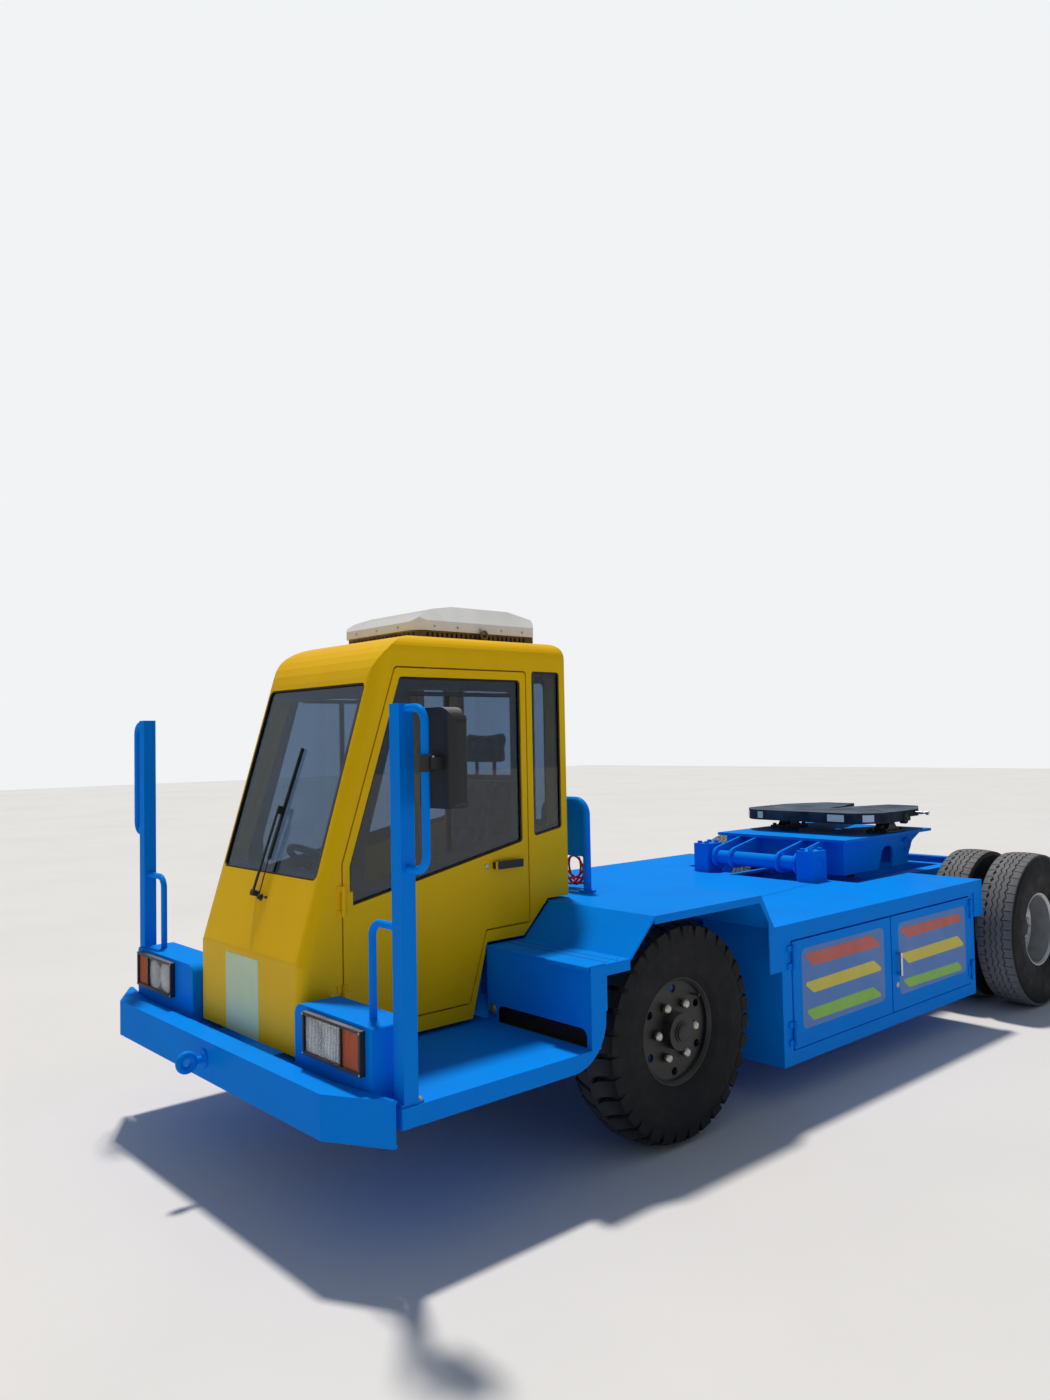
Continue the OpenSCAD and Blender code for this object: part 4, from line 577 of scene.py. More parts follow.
def line_curve(name, points, closed=False):
    curve = bpy.data.curves.new(name, "CURVE")
    curve.dimensions = "3D"
    spline = curve.splines.new("POLY")
    spline.points.add(len(points) - 1)
    for k, p in enumerate(points):
        spline.points[k].co = (*p, 1)
    spline.use_cyclic_u = closed
    return curve


def sweep(points, width_mm, height_mm, rounding_mm, material, closed=False):
    return grow(sweep_tree, sweep_keys, line_curve("path", points, closed), material, Width=width_mm / 1000,
                Height=height_mm / 1000, Rounding=rounding_mm / 1000)


# %% [markdown]
# ## The coiled air hose
# A red air hose hangs from the stand behind the cab. It is 10 mm polyurethane tube that keeps the
# round set of its drum: it drops from one gland, goes round five and a half times in a hank about
# 185 mm across, and rises to the second gland, so the whole hose is always on view. The windings
# lie on a ring-shaped surface, 21 mm from a circle of 66 mm radius, and go four times about that
# circle, which is what makes them cross each other. At both ends half a turn leads from the drop
# to that surface, and a small sideways bow keeps the two ends apart where they pass.

# %% Line of the hose
GLAND_X = (330, 210)
GLAND_Y = 1604
GLAND_Z = 1115
HANK_Z = 995
TUBE_MM = 10.0
TURNS = 5
WRAPS = 4
RING_MM = 66
SPREAD_MM = 21
BOW_MM = 8
STEPS_PER_TURN = 28
DROP_STEPS = 8
turn_x = (GLAND_X[0] + GLAND_X[1]) / 2
turn_r = (GLAND_X[0] - GLAND_X[1]) / 2
whole_turn = math.pi * (2 * TURNS + 1)


def on_hank(t):
    # Point of the hose after the angle t, counted from the foot of the first drop
    near = min(1.0, min(t, whole_turn - t) / math.pi)
    ease = near * near * (3 - 2 * near)
    round_ring = WRAPS / TURNS * (t - whole_turn / 2)
    r = turn_r + ease * (RING_MM - turn_r + SPREAD_MM * math.cos(round_ring))
    bow = BOW_MM * math.sin(near * math.pi) ** 2 * (1 if t < whole_turn / 2 else -1)
    y = ease * SPREAD_MM * math.sin(round_ring) + bow
    return at(turn_x + r * math.cos(t), GLAND_Y + y, HANK_Z - r * math.sin(t))


drop = [HANK_Z + (GLAND_Z - HANK_Z) * k / DROP_STEPS for k in range(DROP_STEPS, 0, -1)]
hank_steps = int(whole_turn / 2 / math.pi * STEPS_PER_TURN)
hose_line = [at(GLAND_X[0], GLAND_Y, z) for z in drop]
hose_line += [on_hank(whole_turn * k / hank_steps) for k in range(hank_steps + 1)]
hose_line += [at(GLAND_X[1], GLAND_Y, z) for z in reversed(drop)]

# %% Hose and its tapered collars
hose_curve = line_curve("coiled_hose", hose_line)
hose_curve.bevel_depth = TUBE_MM / 2000
hose_curve.bevel_resolution = 2
hose_curve.use_fill_caps = True
hose_curve.materials.append(hose_plastic)
hose = linked("coiled_hose", hose_curve)
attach(hose, "chassis")
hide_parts("air_hose")
collars = show("hose_collars", joined([
    turned([(11, 0), (11, -6), (8, -10), (6.2, -26), (5.2, -27)], at(x, GLAND_Y, GLAND_Z), (0, 0, 1), 20)
    for x in GLAND_X]), black_abs, "chassis")

# %% [markdown]
# ## Tyres
# The front tyres are industrial tyres: two staggered rows of thick blocks reach from the middle
# over the shoulder. The rear ones are road tyres with zigzag ribs. In both the smooth carcass is
# turned from a profile that is lower by the groove depth, and a ring of tread pieces stands on it.
# One tread piece is drawn once and repeated by the ring tree, so each has only a few faces.

# %% Carcass
FRONT_TRACK = 860
REAR_TRACK = 870
TWIN_HALF = 140
TYRE_R = 428
TYRE_W = 214
BEAD_R = 203
CARCASS_STEPS = 96


def carcass(centre, tread_r):
    # The profile is even about the tyre's middle: radius, share of the half width, rounding
    flank = [(BEAD_R, 0.72, 4), (232, 0.86, 10), (300, 0.985, 60), (345, 1.0, 50), (tread_r - 16, 0.95, 14),
             (tread_r, 0.80, 10)]
    half = TYRE_W / 2
    profile = rounded([(r, -half * share, bend) for r, share, bend in flank]
                      + [(r, half * share, bend) for r, share, bend in reversed(flank)], steps=4)
    spokes = [2 * math.pi * i / CARCASS_STEPS for i in range(CARCASS_STEPS)]
    return skin([[centre + Vector((x, r * math.cos(a), r * math.sin(a))) / 1000 for r, x in profile]
                 for a in spokes], wrap=True)


def on_tread(x, along, r):
    # A point at radius r, x across and the given distance round the tread from the top
    a = along / TYRE_R
    return Vector((x, r * math.sin(a), r * math.cos(a))) / 1000


def tread_block(side, corners, top, foot, flare):
    # corners: [x, along] of the block's face on the positive side; its foot is wider by flare
    corners = [Vector((side * x, y)) for x, y in corners[::side]]
    middle = sum(corners, Vector((0, 0))) / len(corners)
    face = [on_tread(c.x, c.y, top(c.x)) for c in corners]
    base = []
    for c in corners:
        out = (c - middle).normalized() * flare
        base.append(on_tread(min(max(c.x + out.x, -TYRE_W / 2), TYRE_W / 2), c.y + out.y, foot(c.x)))
    return skin([base, face])


# %% Front tread
FRONT_BLOCKS = 32
LUG_SHARE = 0.74
FRONT_CARCASS_R = 404
RIB_RADII = (388, 362)
lug_w = 2 * math.pi * TYRE_R / FRONT_BLOCKS * LUG_SHARE


def front_top(x):
    return TYRE_R - 26 * max(0.0, (abs(x) - 74) / 33) ** 1.6


def front_foot(x):
    return 402 - 34 * max(0.0, (abs(x) - 70) / 37)


def front_lug(side):
    # A thick bar from past the middle to the shoulder, whose inner part slants
    corners = [(-8, -26), (46, 2), (106, 6), (106, 6 + lug_w), (46, 2 + lug_w), (-8, lug_w - 26)]
    return tread_block(side, corners, front_top, front_foot, 2.0)


def front_shoulder(side):
    # Rib that carries each block down the sidewall
    x = 106.2
    heights = (front_top(106), *RIB_RADII)
    outside = zip(heights, (x, x + 0.6, x - 0.6))
    points = [on_tread(side * px, y, r) for r, px in outside for y in (8, 4 + lug_w)]
    points += [on_tread(side * (x - 8), y, r) for r in heights for y in (8, 4 + lug_w)]
    faces = [[0, 1, 3, 2], [2, 3, 5, 4], [6, 8, 9, 7], [8, 10, 11, 9], [0, 6, 7, 1], [4, 5, 11, 10],
             [0, 2, 8, 6], [2, 4, 10, 8], [1, 7, 9, 3], [3, 9, 11, 5]]
    return mesh_of(points, faces)


for label, side in SIDES.items():
    hub = at(side * FRONT_TRACK, FRONT_AXLE_Y, AXLE_Z)
    parts = [carcass(hub, FRONT_CARCASS_R)]
    for k, flank in enumerate((1, -1)):
        lug = joined([front_lug(flank), front_shoulder(flank)])
        parts.append(ring(lug, FRONT_BLOCKS, math.pi / FRONT_BLOCKS * k, (1, 0, 0), hub, front_rubber))
    tyre = show(label + "_front_tread", joined(parts), front_rubber, label + "_front_wheel")
    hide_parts(label + "_front_tyre")
print("front tread blocks:", 2 * FRONT_BLOCKS)

# %% Rear tread
REAR_STEPS = 52
REAR_CARCASS_R = 417
ZIGZAG = 6
GROOVE_DEPTH = 13
rear_pitch = 2 * math.pi * TYRE_R / REAR_STEPS


def rear_top(x):
    return TYRE_R - 7 * (abs(x) / 92) ** 2.5


def rear_foot(x):
    return rear_top(x) - GROOVE_DEPTH


def rear_rib(x0, x1):
    # One zigzag period of a rib between two grooves
    left, right = [[(x - ZIGZAG, 0), (x + ZIGZAG, rear_pitch / 2), (x - ZIGZAG, rear_pitch)]
                   for x in (x0, x1)]
    points = [on_tread(x, y, rear_top(x)) for x, y in left + right]
    points += [on_tread(x - 2, y, rear_foot(x)) for x, y in left]
    points += [on_tread(x + 2, y, rear_foot(x)) for x, y in right]
    faces = [[0, 1, 4, 3], [1, 2, 5, 4], [0, 6, 7, 1], [1, 7, 8, 2], [3, 4, 10, 9], [4, 5, 11, 10]]
    return mesh_of(points, faces)


def shoulder_rib(side):
    # The outer rib is cut by a sipe once a period
    w = rear_pitch - 5
    corners = [(52 - ZIGZAG, 0), (92, 0), (92, w), (52 - ZIGZAG, w), (52 + ZIGZAG, w / 2)]
    return tread_block(side, corners, rear_top, rear_foot, 1.5)


rib_period = joined([rear_rib(-43, -18), rear_rib(-11, 11), rear_rib(18, 43),
                     shoulder_rib(1), shoulder_rib(-1)])
for label, side in SIDES.items():
    parts = []
    for twin in (-TWIN_HALF, TWIN_HALF):
        hub = at(side * REAR_TRACK + twin, REAR_AXLE_Y, AXLE_Z)
        parts.append(carcass(hub, REAR_CARCASS_R))
        parts.append(ring(rib_period.copy(), REAR_STEPS, 0, (1, 0, 0), hub, rear_rubber))
    tyres = show(label + "_rear_treads", joined(parts), rear_rubber, label + "_rear_wheels")
    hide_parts(label + "_rear_tyres")
print("rear tread periods:", REAR_STEPS)

# %% [markdown]
# Wheel fasteners: the painted nuts of the front wheels wear domed zinc-plated caps, round a black
# hub with a cap in its middle and a valve stem beside the hand holes. On each rear wheel eight
# larger nuts hold the rim, each with a collar and a stud end, and eight small ones the hub.

# %% Wheel nuts, caps and valves
NUT_CIRCLE = 0.108
HUB_CIRCLE = 0.062


def nut_cap(across_mm, height_mm, along):
    # Domed cap over the end of a nut; its axis is X and along is its place on the axis
    r = across_mm / 2
    profile = [(r, 0), (r * 1.03, 2), (r * 0.97, height_mm * 0.6), (r * 0.7, height_mm * 0.9),
               (r * 0.25, height_mm)]
    return turned(profile, (along / 1000, 0, 0), (1, 0, 0), 14)


def hex_nut(across_mm, height_mm, along):
    # Nut on a collar, with a stud end; its axis is X and along is its place on the axis
    r = across_mm / 2
    body = [(r * 1.12, 0), (r, 2), (r, height_mm - 3), (r - 3, height_mm)]
    collar = [(r * 1.14, 0), (r * 1.14, 3), (r * 1.05, 4)]
    stud = [(r * 0.5, height_mm - 2), (r * 0.5, height_mm + 6), (r * 0.35, height_mm + 8)]
    return joined([turned(profile, (along / 1000, 0, 0), (1, 0, 0), steps)
                   for profile, steps in ((body, 6), (collar, 18), (stud, 12))])


def faced(mesh, side):
    # Turns a part that looks along +X to look outwards on the given side
    if side < 0:
        mesh.transform(Matrix.Rotation(math.pi, 4, "Z"))
    return mesh


def nut_ring(nut, side, circle, count, start, hub):
    # Sets nuts round a hub on a circle of the given radius
    faced(nut, side).transform(Matrix.Translation((0, 0, circle)))
    return ring(nut, count, start, (1, 0, 0), hub, zinc_plate)


for label, side in SIDES.items():
    out = Vector((side, 0, 0))
    hub = at(side * FRONT_TRACK, FRONT_AXLE_Y, AXLE_Z)
    nuts = nut_ring(nut_cap(37, 17, 64), side, NUT_CIRCLE, 6, math.pi / 6, hub)
    show(label + "_front_nuts", nuts, zinc_plate, label + "_front_wheel")
    cap = turned([(40, 0), (40, 4), (34, 5), (33, 11), (26, 14), (8, 15)], hub + out * 0.095, out, 36)
    valve = turned([(5, 0), (5, 18), (4, 20), (6, 21), (6, 34), (4, 36)],
                   hub + Vector((side * 0.052, 0.118, 0.118)), out, 14)
    show(label + "_hub_cap", joined([cap, valve]), chassis_black, label + "_front_wheel")
    hub = at(side * REAR_TRACK, REAR_AXLE_Y, AXLE_Z)
    nuts = nut_ring(hex_nut(33, 28, 14), side, NUT_CIRCLE, 8, math.pi / 8, hub)
    bolts = nut_ring(hex_nut(16, 9, 130), side, HUB_CIRCLE, 8, 0, hub)
    show(label + "_rear_nuts", joined([nuts, bolts]), zinc_plate, label + "_rear_wheels")
    cap = turned([(50, 0), (50, 5), (40, 8), (12, 9)], hub + out * 0.130, out, 32)
    show(label + "_axle_cap", cap, chassis_black, label + "_rear_wheels")

# %% [markdown]
# ## Cab
# The windscreen leans back by 17.1 degrees, so its trim is drawn flat, in its own plane, and one
# function lays it on the slope. The panes carry a black band behind the glass and sit in a thin
# rubber seal. The doors' panes get a black sheet of the same finish, wide at the lower front corner
# where the sliding pane's frame is: it is painted shade, for the dark inside of the cab seen through
# the pane.

# %% Windscreen band and seals
CAB_X = 42
CAB_HALF = 392
CAB_BACK_Y = 1402
NOSE_Y = 144
SCREEN_LEAN = math.radians(17.1)
SCREEN_FOOT_Z = 1085
SCREEN_FOOT = at(CAB_X, NOSE_Y + (SCREEN_FOOT_Z - 812) * math.tan(SCREEN_LEAN), SCREEN_FOOT_Z)
SCREEN_HALF = 352
SCREEN_RISE = (1778 - SCREEN_FOOT_Z) / math.cos(SCREEN_LEAN)
BAND_THICK = 0.0012
SCREEN_BEHIND = 13.3
REAR_BEHIND = 13.2
DOOR_BEHIND = 17.2
slope_up = Vector((0, math.sin(SCREEN_LEAN), math.cos(SCREEN_LEAN)))
slope_in = Vector((0, math.cos(SCREEN_LEAN), -math.sin(SCREEN_LEAN)))


def on_screen(u, v, depth):
    return SCREEN_FOOT + Vector((u, 0, 0)) / 1000 + slope_up * v / 1000 + slope_in * depth / 1000


def screen_outline(inset, low, high, r, depth):
    half = SCREEN_HALF - inset
    return [on_screen(u, v, depth) for u, v in rounded_box(-half, low, half, SCREEN_RISE - high, r)]


def seal(line, height_mm):
    return sweep(line, 6, height_mm, 2.9, seal_rubber, closed=True)


screen_band = band(screen_outline(0.6, 0.6, 0.6, 24, SCREEN_BEHIND),
                   screen_outline(34, 34, 52, 34, SCREEN_BEHIND), slope_in * BAND_THICK)
show("screen_band", screen_band, black_band_and_shade, "chassis")
show("screen_seal", seal(screen_outline(4, 4, 4, 20, 5.0), 8), seal_rubber, "chassis")


def on_side(side, y, z, depth):
    # A point on the cab's flank, depth inwards from the face
    return at(CAB_X + side * (CAB_HALF - depth), y, z)


def side_outline(side, corners, r, depth):
    return [on_side(side, y, z, depth) for y, z in rounded([(y, z, r) for y, z in corners])]


def side_band(side, outer, outer_r, inner, inner_r, depth):
    return band(side_outline(side, outer, outer_r, depth), side_outline(side, inner, inner_r, depth),
                (-side * BAND_THICK, 0, 0))


DOOR_PANE = [(340, 988), (1153, 1152), (1153, 1800), (563, 1800), (340, 1128)]
DOOR_SHADE_BAND = [(415, 1062), (1108, 1200), (1108, 1752), (590, 1752), (415, 1180)]
DOOR_SEAL = [(344, 992), (1149, 1156), (1149, 1796), (566, 1796), (344, 1128)]
REAR_PANE = [(1215, 1167), (1371, 1193), (1371, 1838), (1215, 1838)]
REAR_BAND = [(1237, 1192), (1349, 1212), (1349, 1814), (1237, 1814)]
REAR_SEAL = [(1219, 1171), (1367, 1197), (1367, 1834), (1219, 1834)]
GRIP = [(990, -0.5), (1021, -0.5), (1021, 10), (1034, 13), (1112, 13), (1133, 18), (1133, 27), (1112, 27.5),
        (1000, 27.5), (989, 22)]
for label, side in SIDES.items():
    door = label + "_cab_door"
    # Painted shade: this black sheet on the door pane stands for the shaded inside of the cab
    door_shade_band = side_band(side, DOOR_PANE, 15, DOOR_SHADE_BAND, 26, DOOR_BEHIND)
    # Rail and post of the sliding pane
    rail = sweep([on_side(side, 606, 1738, 19), on_side(side, 1112, 1738, 19)], 8, 16, 2, black_band_and_shade)
    post = sweep([on_side(side, 792, 1135, 21), on_side(side, 792, 1742, 21)], 8, 22, 2, black_band_and_shade)
    door_seal = seal(side_outline(side, DOOR_SEAL, 13, 8.0), 8)
    show(label + "_door_band", joined([door_shade_band, rail, post]), black_band_and_shade, door)
    show(label + "_door_seal", door_seal, seal_rubber, door)
    rear_band = side_band(side, REAR_PANE, 13, REAR_BAND, 12, REAR_BEHIND)
    rear_seal = seal(side_outline(side, REAR_SEAL, 10, 4.5), 7)
    show(label + "_rear_pane_trim", joined([rear_band, rear_seal]), black_band_and_shade, "chassis")
    # Lever handle: a tapered black grip over the solid's foot, and a lock beside it
    grip = slab("z", 1055, [(CAB_X + side * (CAB_HALF + x), y) for y, x in GRIP], 32)
    lock = turned([(11, 0), (11, 3), (9, 4.5), (4, 4.5)], on_side(side, 962, 1070, 0), (side, 0, 0), 24)
    show(label + "_door_grip", grip, black_abs, door, soften_mm=4)
    show(label + "_door_lock", lock, zinc_plate, door)
print("panes trimmed")

# %% [markdown]
# The nose carries a blank plate of thin film. The wiper's spindle has a cap, a small nozzle
# stands beside it, and a second arm runs beside the first. The rear window has a band and a seal
# like the others.

# %% Nose plate, wiper linkage and rear window band
nose_plate = slab("y", NOSE_Y - 0.9, rounded_box(-120, 505, 135, 790, 6), 0.8)
show("nose_plate", nose_plate, pale_plate, "chassis")


def slope_part(profile, u, v):
    # Turned part that stands out of the leaning front
    return turned(profile, on_screen(u, v, 0), -slope_in, 20)


pivots = [slope_part([(13, 0), (13, 3), (9, 5), (9, 14), (6, 16)], 10, -90),
          slope_part([(6, 0), (6, 4), (4, 6), (3, 10)], 46, -86)]
second_arm = sweep([on_screen(10, -90, -12), on_screen(18, 40, -16), on_screen(30, 190, -14)],
                   5, 4, 1.6, black_abs)
show("wiper_linkage", joined([*pivots, second_arm]), black_abs, "chassis")
rear_outer = rounded_box(-300, 1190, 300, 1830, 30)
rear_inner = rounded_box(-272, 1218, 272, 1800, 26)
rear_trim = band([at(CAB_X + x * 0.998, CAB_BACK_Y - 13.4, z) for x, z in rear_outer],
                 [at(CAB_X + x, CAB_BACK_Y - 13.4, z) for x, z in rear_inner], (0, -BAND_THICK, 0))
rear_window_seal = seal([at(CAB_X + x * 0.986, CAB_BACK_Y - 4, 1190 + (z - 1190) * 0.988 + 4)
                         for x, z in rear_outer], 7)
show("rear_window_trim", joined([rear_trim, rear_window_seal]), black_band_and_shade, "chassis")

# %% [markdown]
# The solid of the cab stops short at the top of its back: a slanted cut leaves the roof open behind
# the cooling unit. The real roof runs level to the back and turns down there with a small radius,
# so one closed piece fills the place. Its section follows the cab's, which is rounded along both
# sides, and changes from station to station: the cut is its underside and the roof its top.

# %% Back of the roof
ROOF_Z = 1961
ROOF_SIDE_R = 70
ROOF_BACK_R = 40
CUT_START_Y = 1170.5
SECTION_STEPS = 10
LEVEL_STATIONS = 4
BEND_ANGLES = (18, 36, 54, 72, 90)
bend_y = CAB_BACK_Y - ROOF_BACK_R


def roof_half_width(z):
    # Half the cab's width at a height, inside the rounding along its sides
    above = max(0.0, z - (ROOF_Z - ROOF_SIDE_R))
    return CAB_HALF - ROOF_SIDE_R + math.sqrt(max(0.0, ROOF_SIDE_R ** 2 - above ** 2))


def roof_section(y):
    low = ROOF_Z - (y - CUT_START_Y) * math.tan(SCREEN_LEAN)
    high = ROOF_Z - ROOF_BACK_R + math.sqrt(ROOF_BACK_R ** 2 - max(0.0, y - bend_y) ** 2)
    shares = [math.sin(math.pi / 2 * k / SECTION_STEPS) for k in range(SECTION_STEPS + 1)]
    heights = [low + (high - low) * share for share in shares]
    one_side = [(roof_half_width(z), z) for z in heights]
    return [at(CAB_X + x, y, z) for x, z in one_side] + [at(CAB_X - x, y, z) for x, z in reversed(one_side)]


first_y = CUT_START_Y + 4
stations = [first_y + (bend_y - first_y) * k / LEVEL_STATIONS for k in range(LEVEL_STATIONS + 1)]
stations += [bend_y + ROOF_BACK_R * math.sin(math.radians(a)) for a in BEND_ANGLES]
show("roof_back", skin([roof_section(y) for y in stations]), yellow_enamel, "chassis")
print("roof back stations:", len(stations))

# %% [markdown]
# ## Seat
# A cushion is foam in a sewn cover: crowned, with its sides pulled in between the corners. The
# recipe here is a voxel remesh, a short cloth simulation under pressure, a cap on how far a point
# may move, and one subdivision. Seams are then pressed into the result: two along every cushion,
# and one across the cushion and the back.

# %% Soft cushions
HUMP_Z = 812
VOXEL = 0.009
PRESSURE = 4
CLOTH_FRAMES = 20
middle_x = at(CAB_X, 0, 0).x


def numbers_of(mesh, what):
    values = np.zeros(len(mesh.vertices) * 3)
    mesh.vertices.foreach_get(what, values)
    return values.reshape(-1, 3)


def pressed(name, mesh, cap_mm, pinned_below):
    made = linked(name, cleaned(mesh))
    remesh = made.modifiers.new("remesh", "REMESH")
    remesh.mode = "VOXEL"
    remesh.voxel_size = VOXEL
    fine = result_of(made)
    made.modifiers.clear()
    made.data = fine
    rest = numbers_of(fine, "co")
    cloth = made.modifiers.new("cloth", "CLOTH")
    cloth.settings.use_pressure = True
    cloth.settings.uniform_pressure_force = PRESSURE
    cloth.settings.effector_weights.gravity = 0
    for number in range(1, CLOTH_FRAMES + 1):
        scene.frame_set(number)
    step = numbers_of(result_of(made), "co") - rest
    made.modifiers.clear()
    scene.frame_set(1)
    far = np.maximum(np.linalg.norm(step, axis=1), 1e-9)
    step *= np.minimum(1, cap_mm / 1000 / far)[:, None]
    step[rest[:, 2] < pinned_below / 1000] = 0
    fine.vertices.foreach_set("co", (rest + step).ravel())
    fine.update()
    fine.materials.clear()
    fine.materials.append(seat_plush)
    fine.shade_smooth()
    return made


def sew(made, distance, depth_mm, width_mm):
    # Presses a seam where distance(points) is near zero
    mesh = made.data
    points = numbers_of(mesh, "co")
    press = depth_mm / 1000 * np.exp(-(distance(points) * 1000 / width_mm) ** 2)
    mesh.vertices.foreach_set("co", (points - numbers_of(mesh, "normal") * press[:, None]).ravel())
    mesh.update()
    smooth = made.modifiers.new("smooth", "SUBSURF")
    smooth.levels = 1
    smooth.render_levels = 1


def seams(from_middle, axis=None, place=0.0):
    # Distance to two seams along the cushion, and to one across it where an axis is given
    def distance(points):
        along = abs(abs(points[:, 0] - middle_x) - from_middle)
        return along if axis is None else np.minimum(along, abs(points[:, axis] - place))
    return distance


# Half width, side view over the hump, cap, what stays put, seams, their depth and width, fill
CUSHIONS = {
    "seat_cushion": (220, [(755, 52, 16), (1140, 52, 10), (1146, 118, 18), (755, 124, 40)], 16, 56,
                     seams(0.13, 1, at(0, 940, 0).y), 5, 6, 0.7),
    "seat_back": (205, [(1146, 135, 22), (1196, 130, 20), (1292, 588, 30), (1236, 594, 30)], 14, 100,
                  seams(0.12, 2, (HUMP_Z + 360) / 1000), 5, 6, 0.7),
    "seat_headrest": (118, [(1254, 650, 18), (1306, 650, 18), (1314, 780, 26), (1272, 780, 26)], 9, 600,
                      seams(0.095), 3, 5, 0.8),
}
for name, (half_w, view, cap, pinned, distance, depth, width, fill) in CUSHIONS.items():
    outline = rounded([(y, HUMP_Z + z, r) for y, z, r in view])
    soft = pressed(name, slab("x", CAB_X - half_w, outline, 2 * half_w), cap, HUMP_Z + pinned)
    sew(soft, distance, depth, width)
    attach(soft, "chassis")
    print(name, "faces:", len(soft.data.polygons))

# %% Seat pan, plinth and stalks
PAN = [(750, 40), (1150, 40), (1215, 120), (1318, 590), (1306, 598), (1202, 140), (1140, 52), (750, 52)]
PLINTH = [(966, 0.5), (1124, 0.5), (1124, 40), (966, 40)]
frame_parts = [slab("x", CAB_X - half, [(y, HUMP_Z + z) for y, z in outline], 2 * half)
               for half, outline in ((215, PAN), (200, PLINTH))]
frame_parts += [turned([(8, 0), (8, 120)], at(CAB_X + x, 1288, HUMP_Z + 560), (0, 0, 1), 16)
                for x in (-60, 60)]
seat_frame = show("seat_frame", joined(frame_parts), black_abs, "chassis", soften_mm=3)
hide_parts("seat")

# %% [markdown]
# ## Battery boxes
# Each box door carries a grey-blue film with three slanted stripes, and the rear one of each pair
# has a silver pull handle. Film lies flat on the door, so it is a plate a fraction of a millimetre
# thick. The stripes stand in front of the panel film.

# %% Door films and handles
BOX_FACE = 1001.7
STRIPES = {
    "front": [[(2251, 613), (2811, 618), (2910, 555), (2325, 555)],
              [(2245, 491), (2829, 498), (2915, 442), (2324, 439)],
              [(2255, 373), (2815, 378), (2908, 322), (2317, 322)]],
    "rear": [[(3073, 612), (3690, 608), (3734, 563), (3151, 557)],
             [(3072, 491), (3673, 494), (3757, 435), (3157, 434)],
             [(3084, 365), (3671, 360), (3723, 312), (3156, 319)]],
}
PANELS = {"front": (2236, 2926), "rear": (3064, 3764)}
PULL_FACE = BOX_FACE - 0.4
# C-shaped pull: two feet and a bar, drawn in plan and a little wider than the solid's
PULL = [(394, 0), (394, 27), (506, 27), (506, 0), (491.5, 0), (491.5, 15.4), (408.5, 15.4), (408.5, 0)]
for label, side in SIDES.items():
    for door, (y0, y1) in PANELS.items():
        body = label + "_" + door + "_box_door"
        panel = slab("x", side * (BOX_FACE + 0.1), rounded_box(y0, 296, y1, 640, 30), side * 0.5)
        show(body + "_film", panel, panel_film, body)
        for corners, colour, name in zip(STRIPES[door], (red_film, yellow_film, green_film),
                                         ("red", "yellow", "green")):
            soft = rounded([(y, z, 9) for y, z in corners])
            stripe = slab("x", side * (BOX_FACE + 0.7), soft, side * 0.4)
            show(body + "_" + name + "_stripe", stripe, colour, body)
    pull = slab("y", 3037.4, [(side * (PULL_FACE + x), z) for z, x in PULL], 15.2)
    show(label + "_box_pull", pull, ground_steel, label + "_rear_box_door", soften_mm=2)
    lock = turned([(13, 0), (13, 2), (10, 3), (3, 3)], at(side * BOX_FACE, 3045, 350), (side, 0, 0), 24)
    show(label + "_box_lock", lock, zinc_plate, label + "_rear_box_door")
print("door films:", 2 * len(PANELS))

# %% [markdown]
# The batteries are seen only with a box door open: rows of vented caps, and plated straps from
# cell to cell. One cap is turned and the row tree repeats it.

# %% Battery caps and straps
BATTERY_TOP = 582
CELL_PITCH = (0, 0.1, 0)
cap_mesh = turned([(14, 0), (14, 6), (11, 9), (5, 9)], (0, 0, 0), (0, 0, 1), 12)
strap = plate([(-0.012, -0.03, 0), (0.012, -0.03, 0), (0.012, 0.03, 0), (-0.012, 0.03, 0)], (0, 0, 0.004))
caps, straps = [], []
for side in (-1, 1):
    for y in (2207, 3047):
        for x in (690, 860):
            caps.append(row(cap_mesh.copy(), 8, at(side * x, y, BATTERY_TOP), CELL_PITCH, black_abs))
        straps.append(row(strap.copy(), 7, at(side * 775, y + 50, BATTERY_TOP + 0.4), CELL_PITCH, zinc_plate))
show("battery_caps", joined(caps), black_abs, "chassis")
show("battery_straps", joined(straps), zinc_plate, "chassis")

# %% [markdown]
# ## Lamps
# Behind the clear lens lies a silvered reflector with two shallow bowls and their bulbs. The
# solid's lens is a full block, so both a thin lens and the reflector replace it. The reflector is
# a height field: each grid point takes its depth from the nearer bowl.

# %% Reflectors, lenses and screws
LAMP_FACE_Y = 118
LAMP_X = (530, 747)
LAMP_Z = (563, 680)
BULB_X = (585, 692)
BULB_Z = sum(LAMP_Z) / 2
BOWL_R = 52
BOWL_DEPTH = 9.5
COLUMNS = 44
LINES = 24


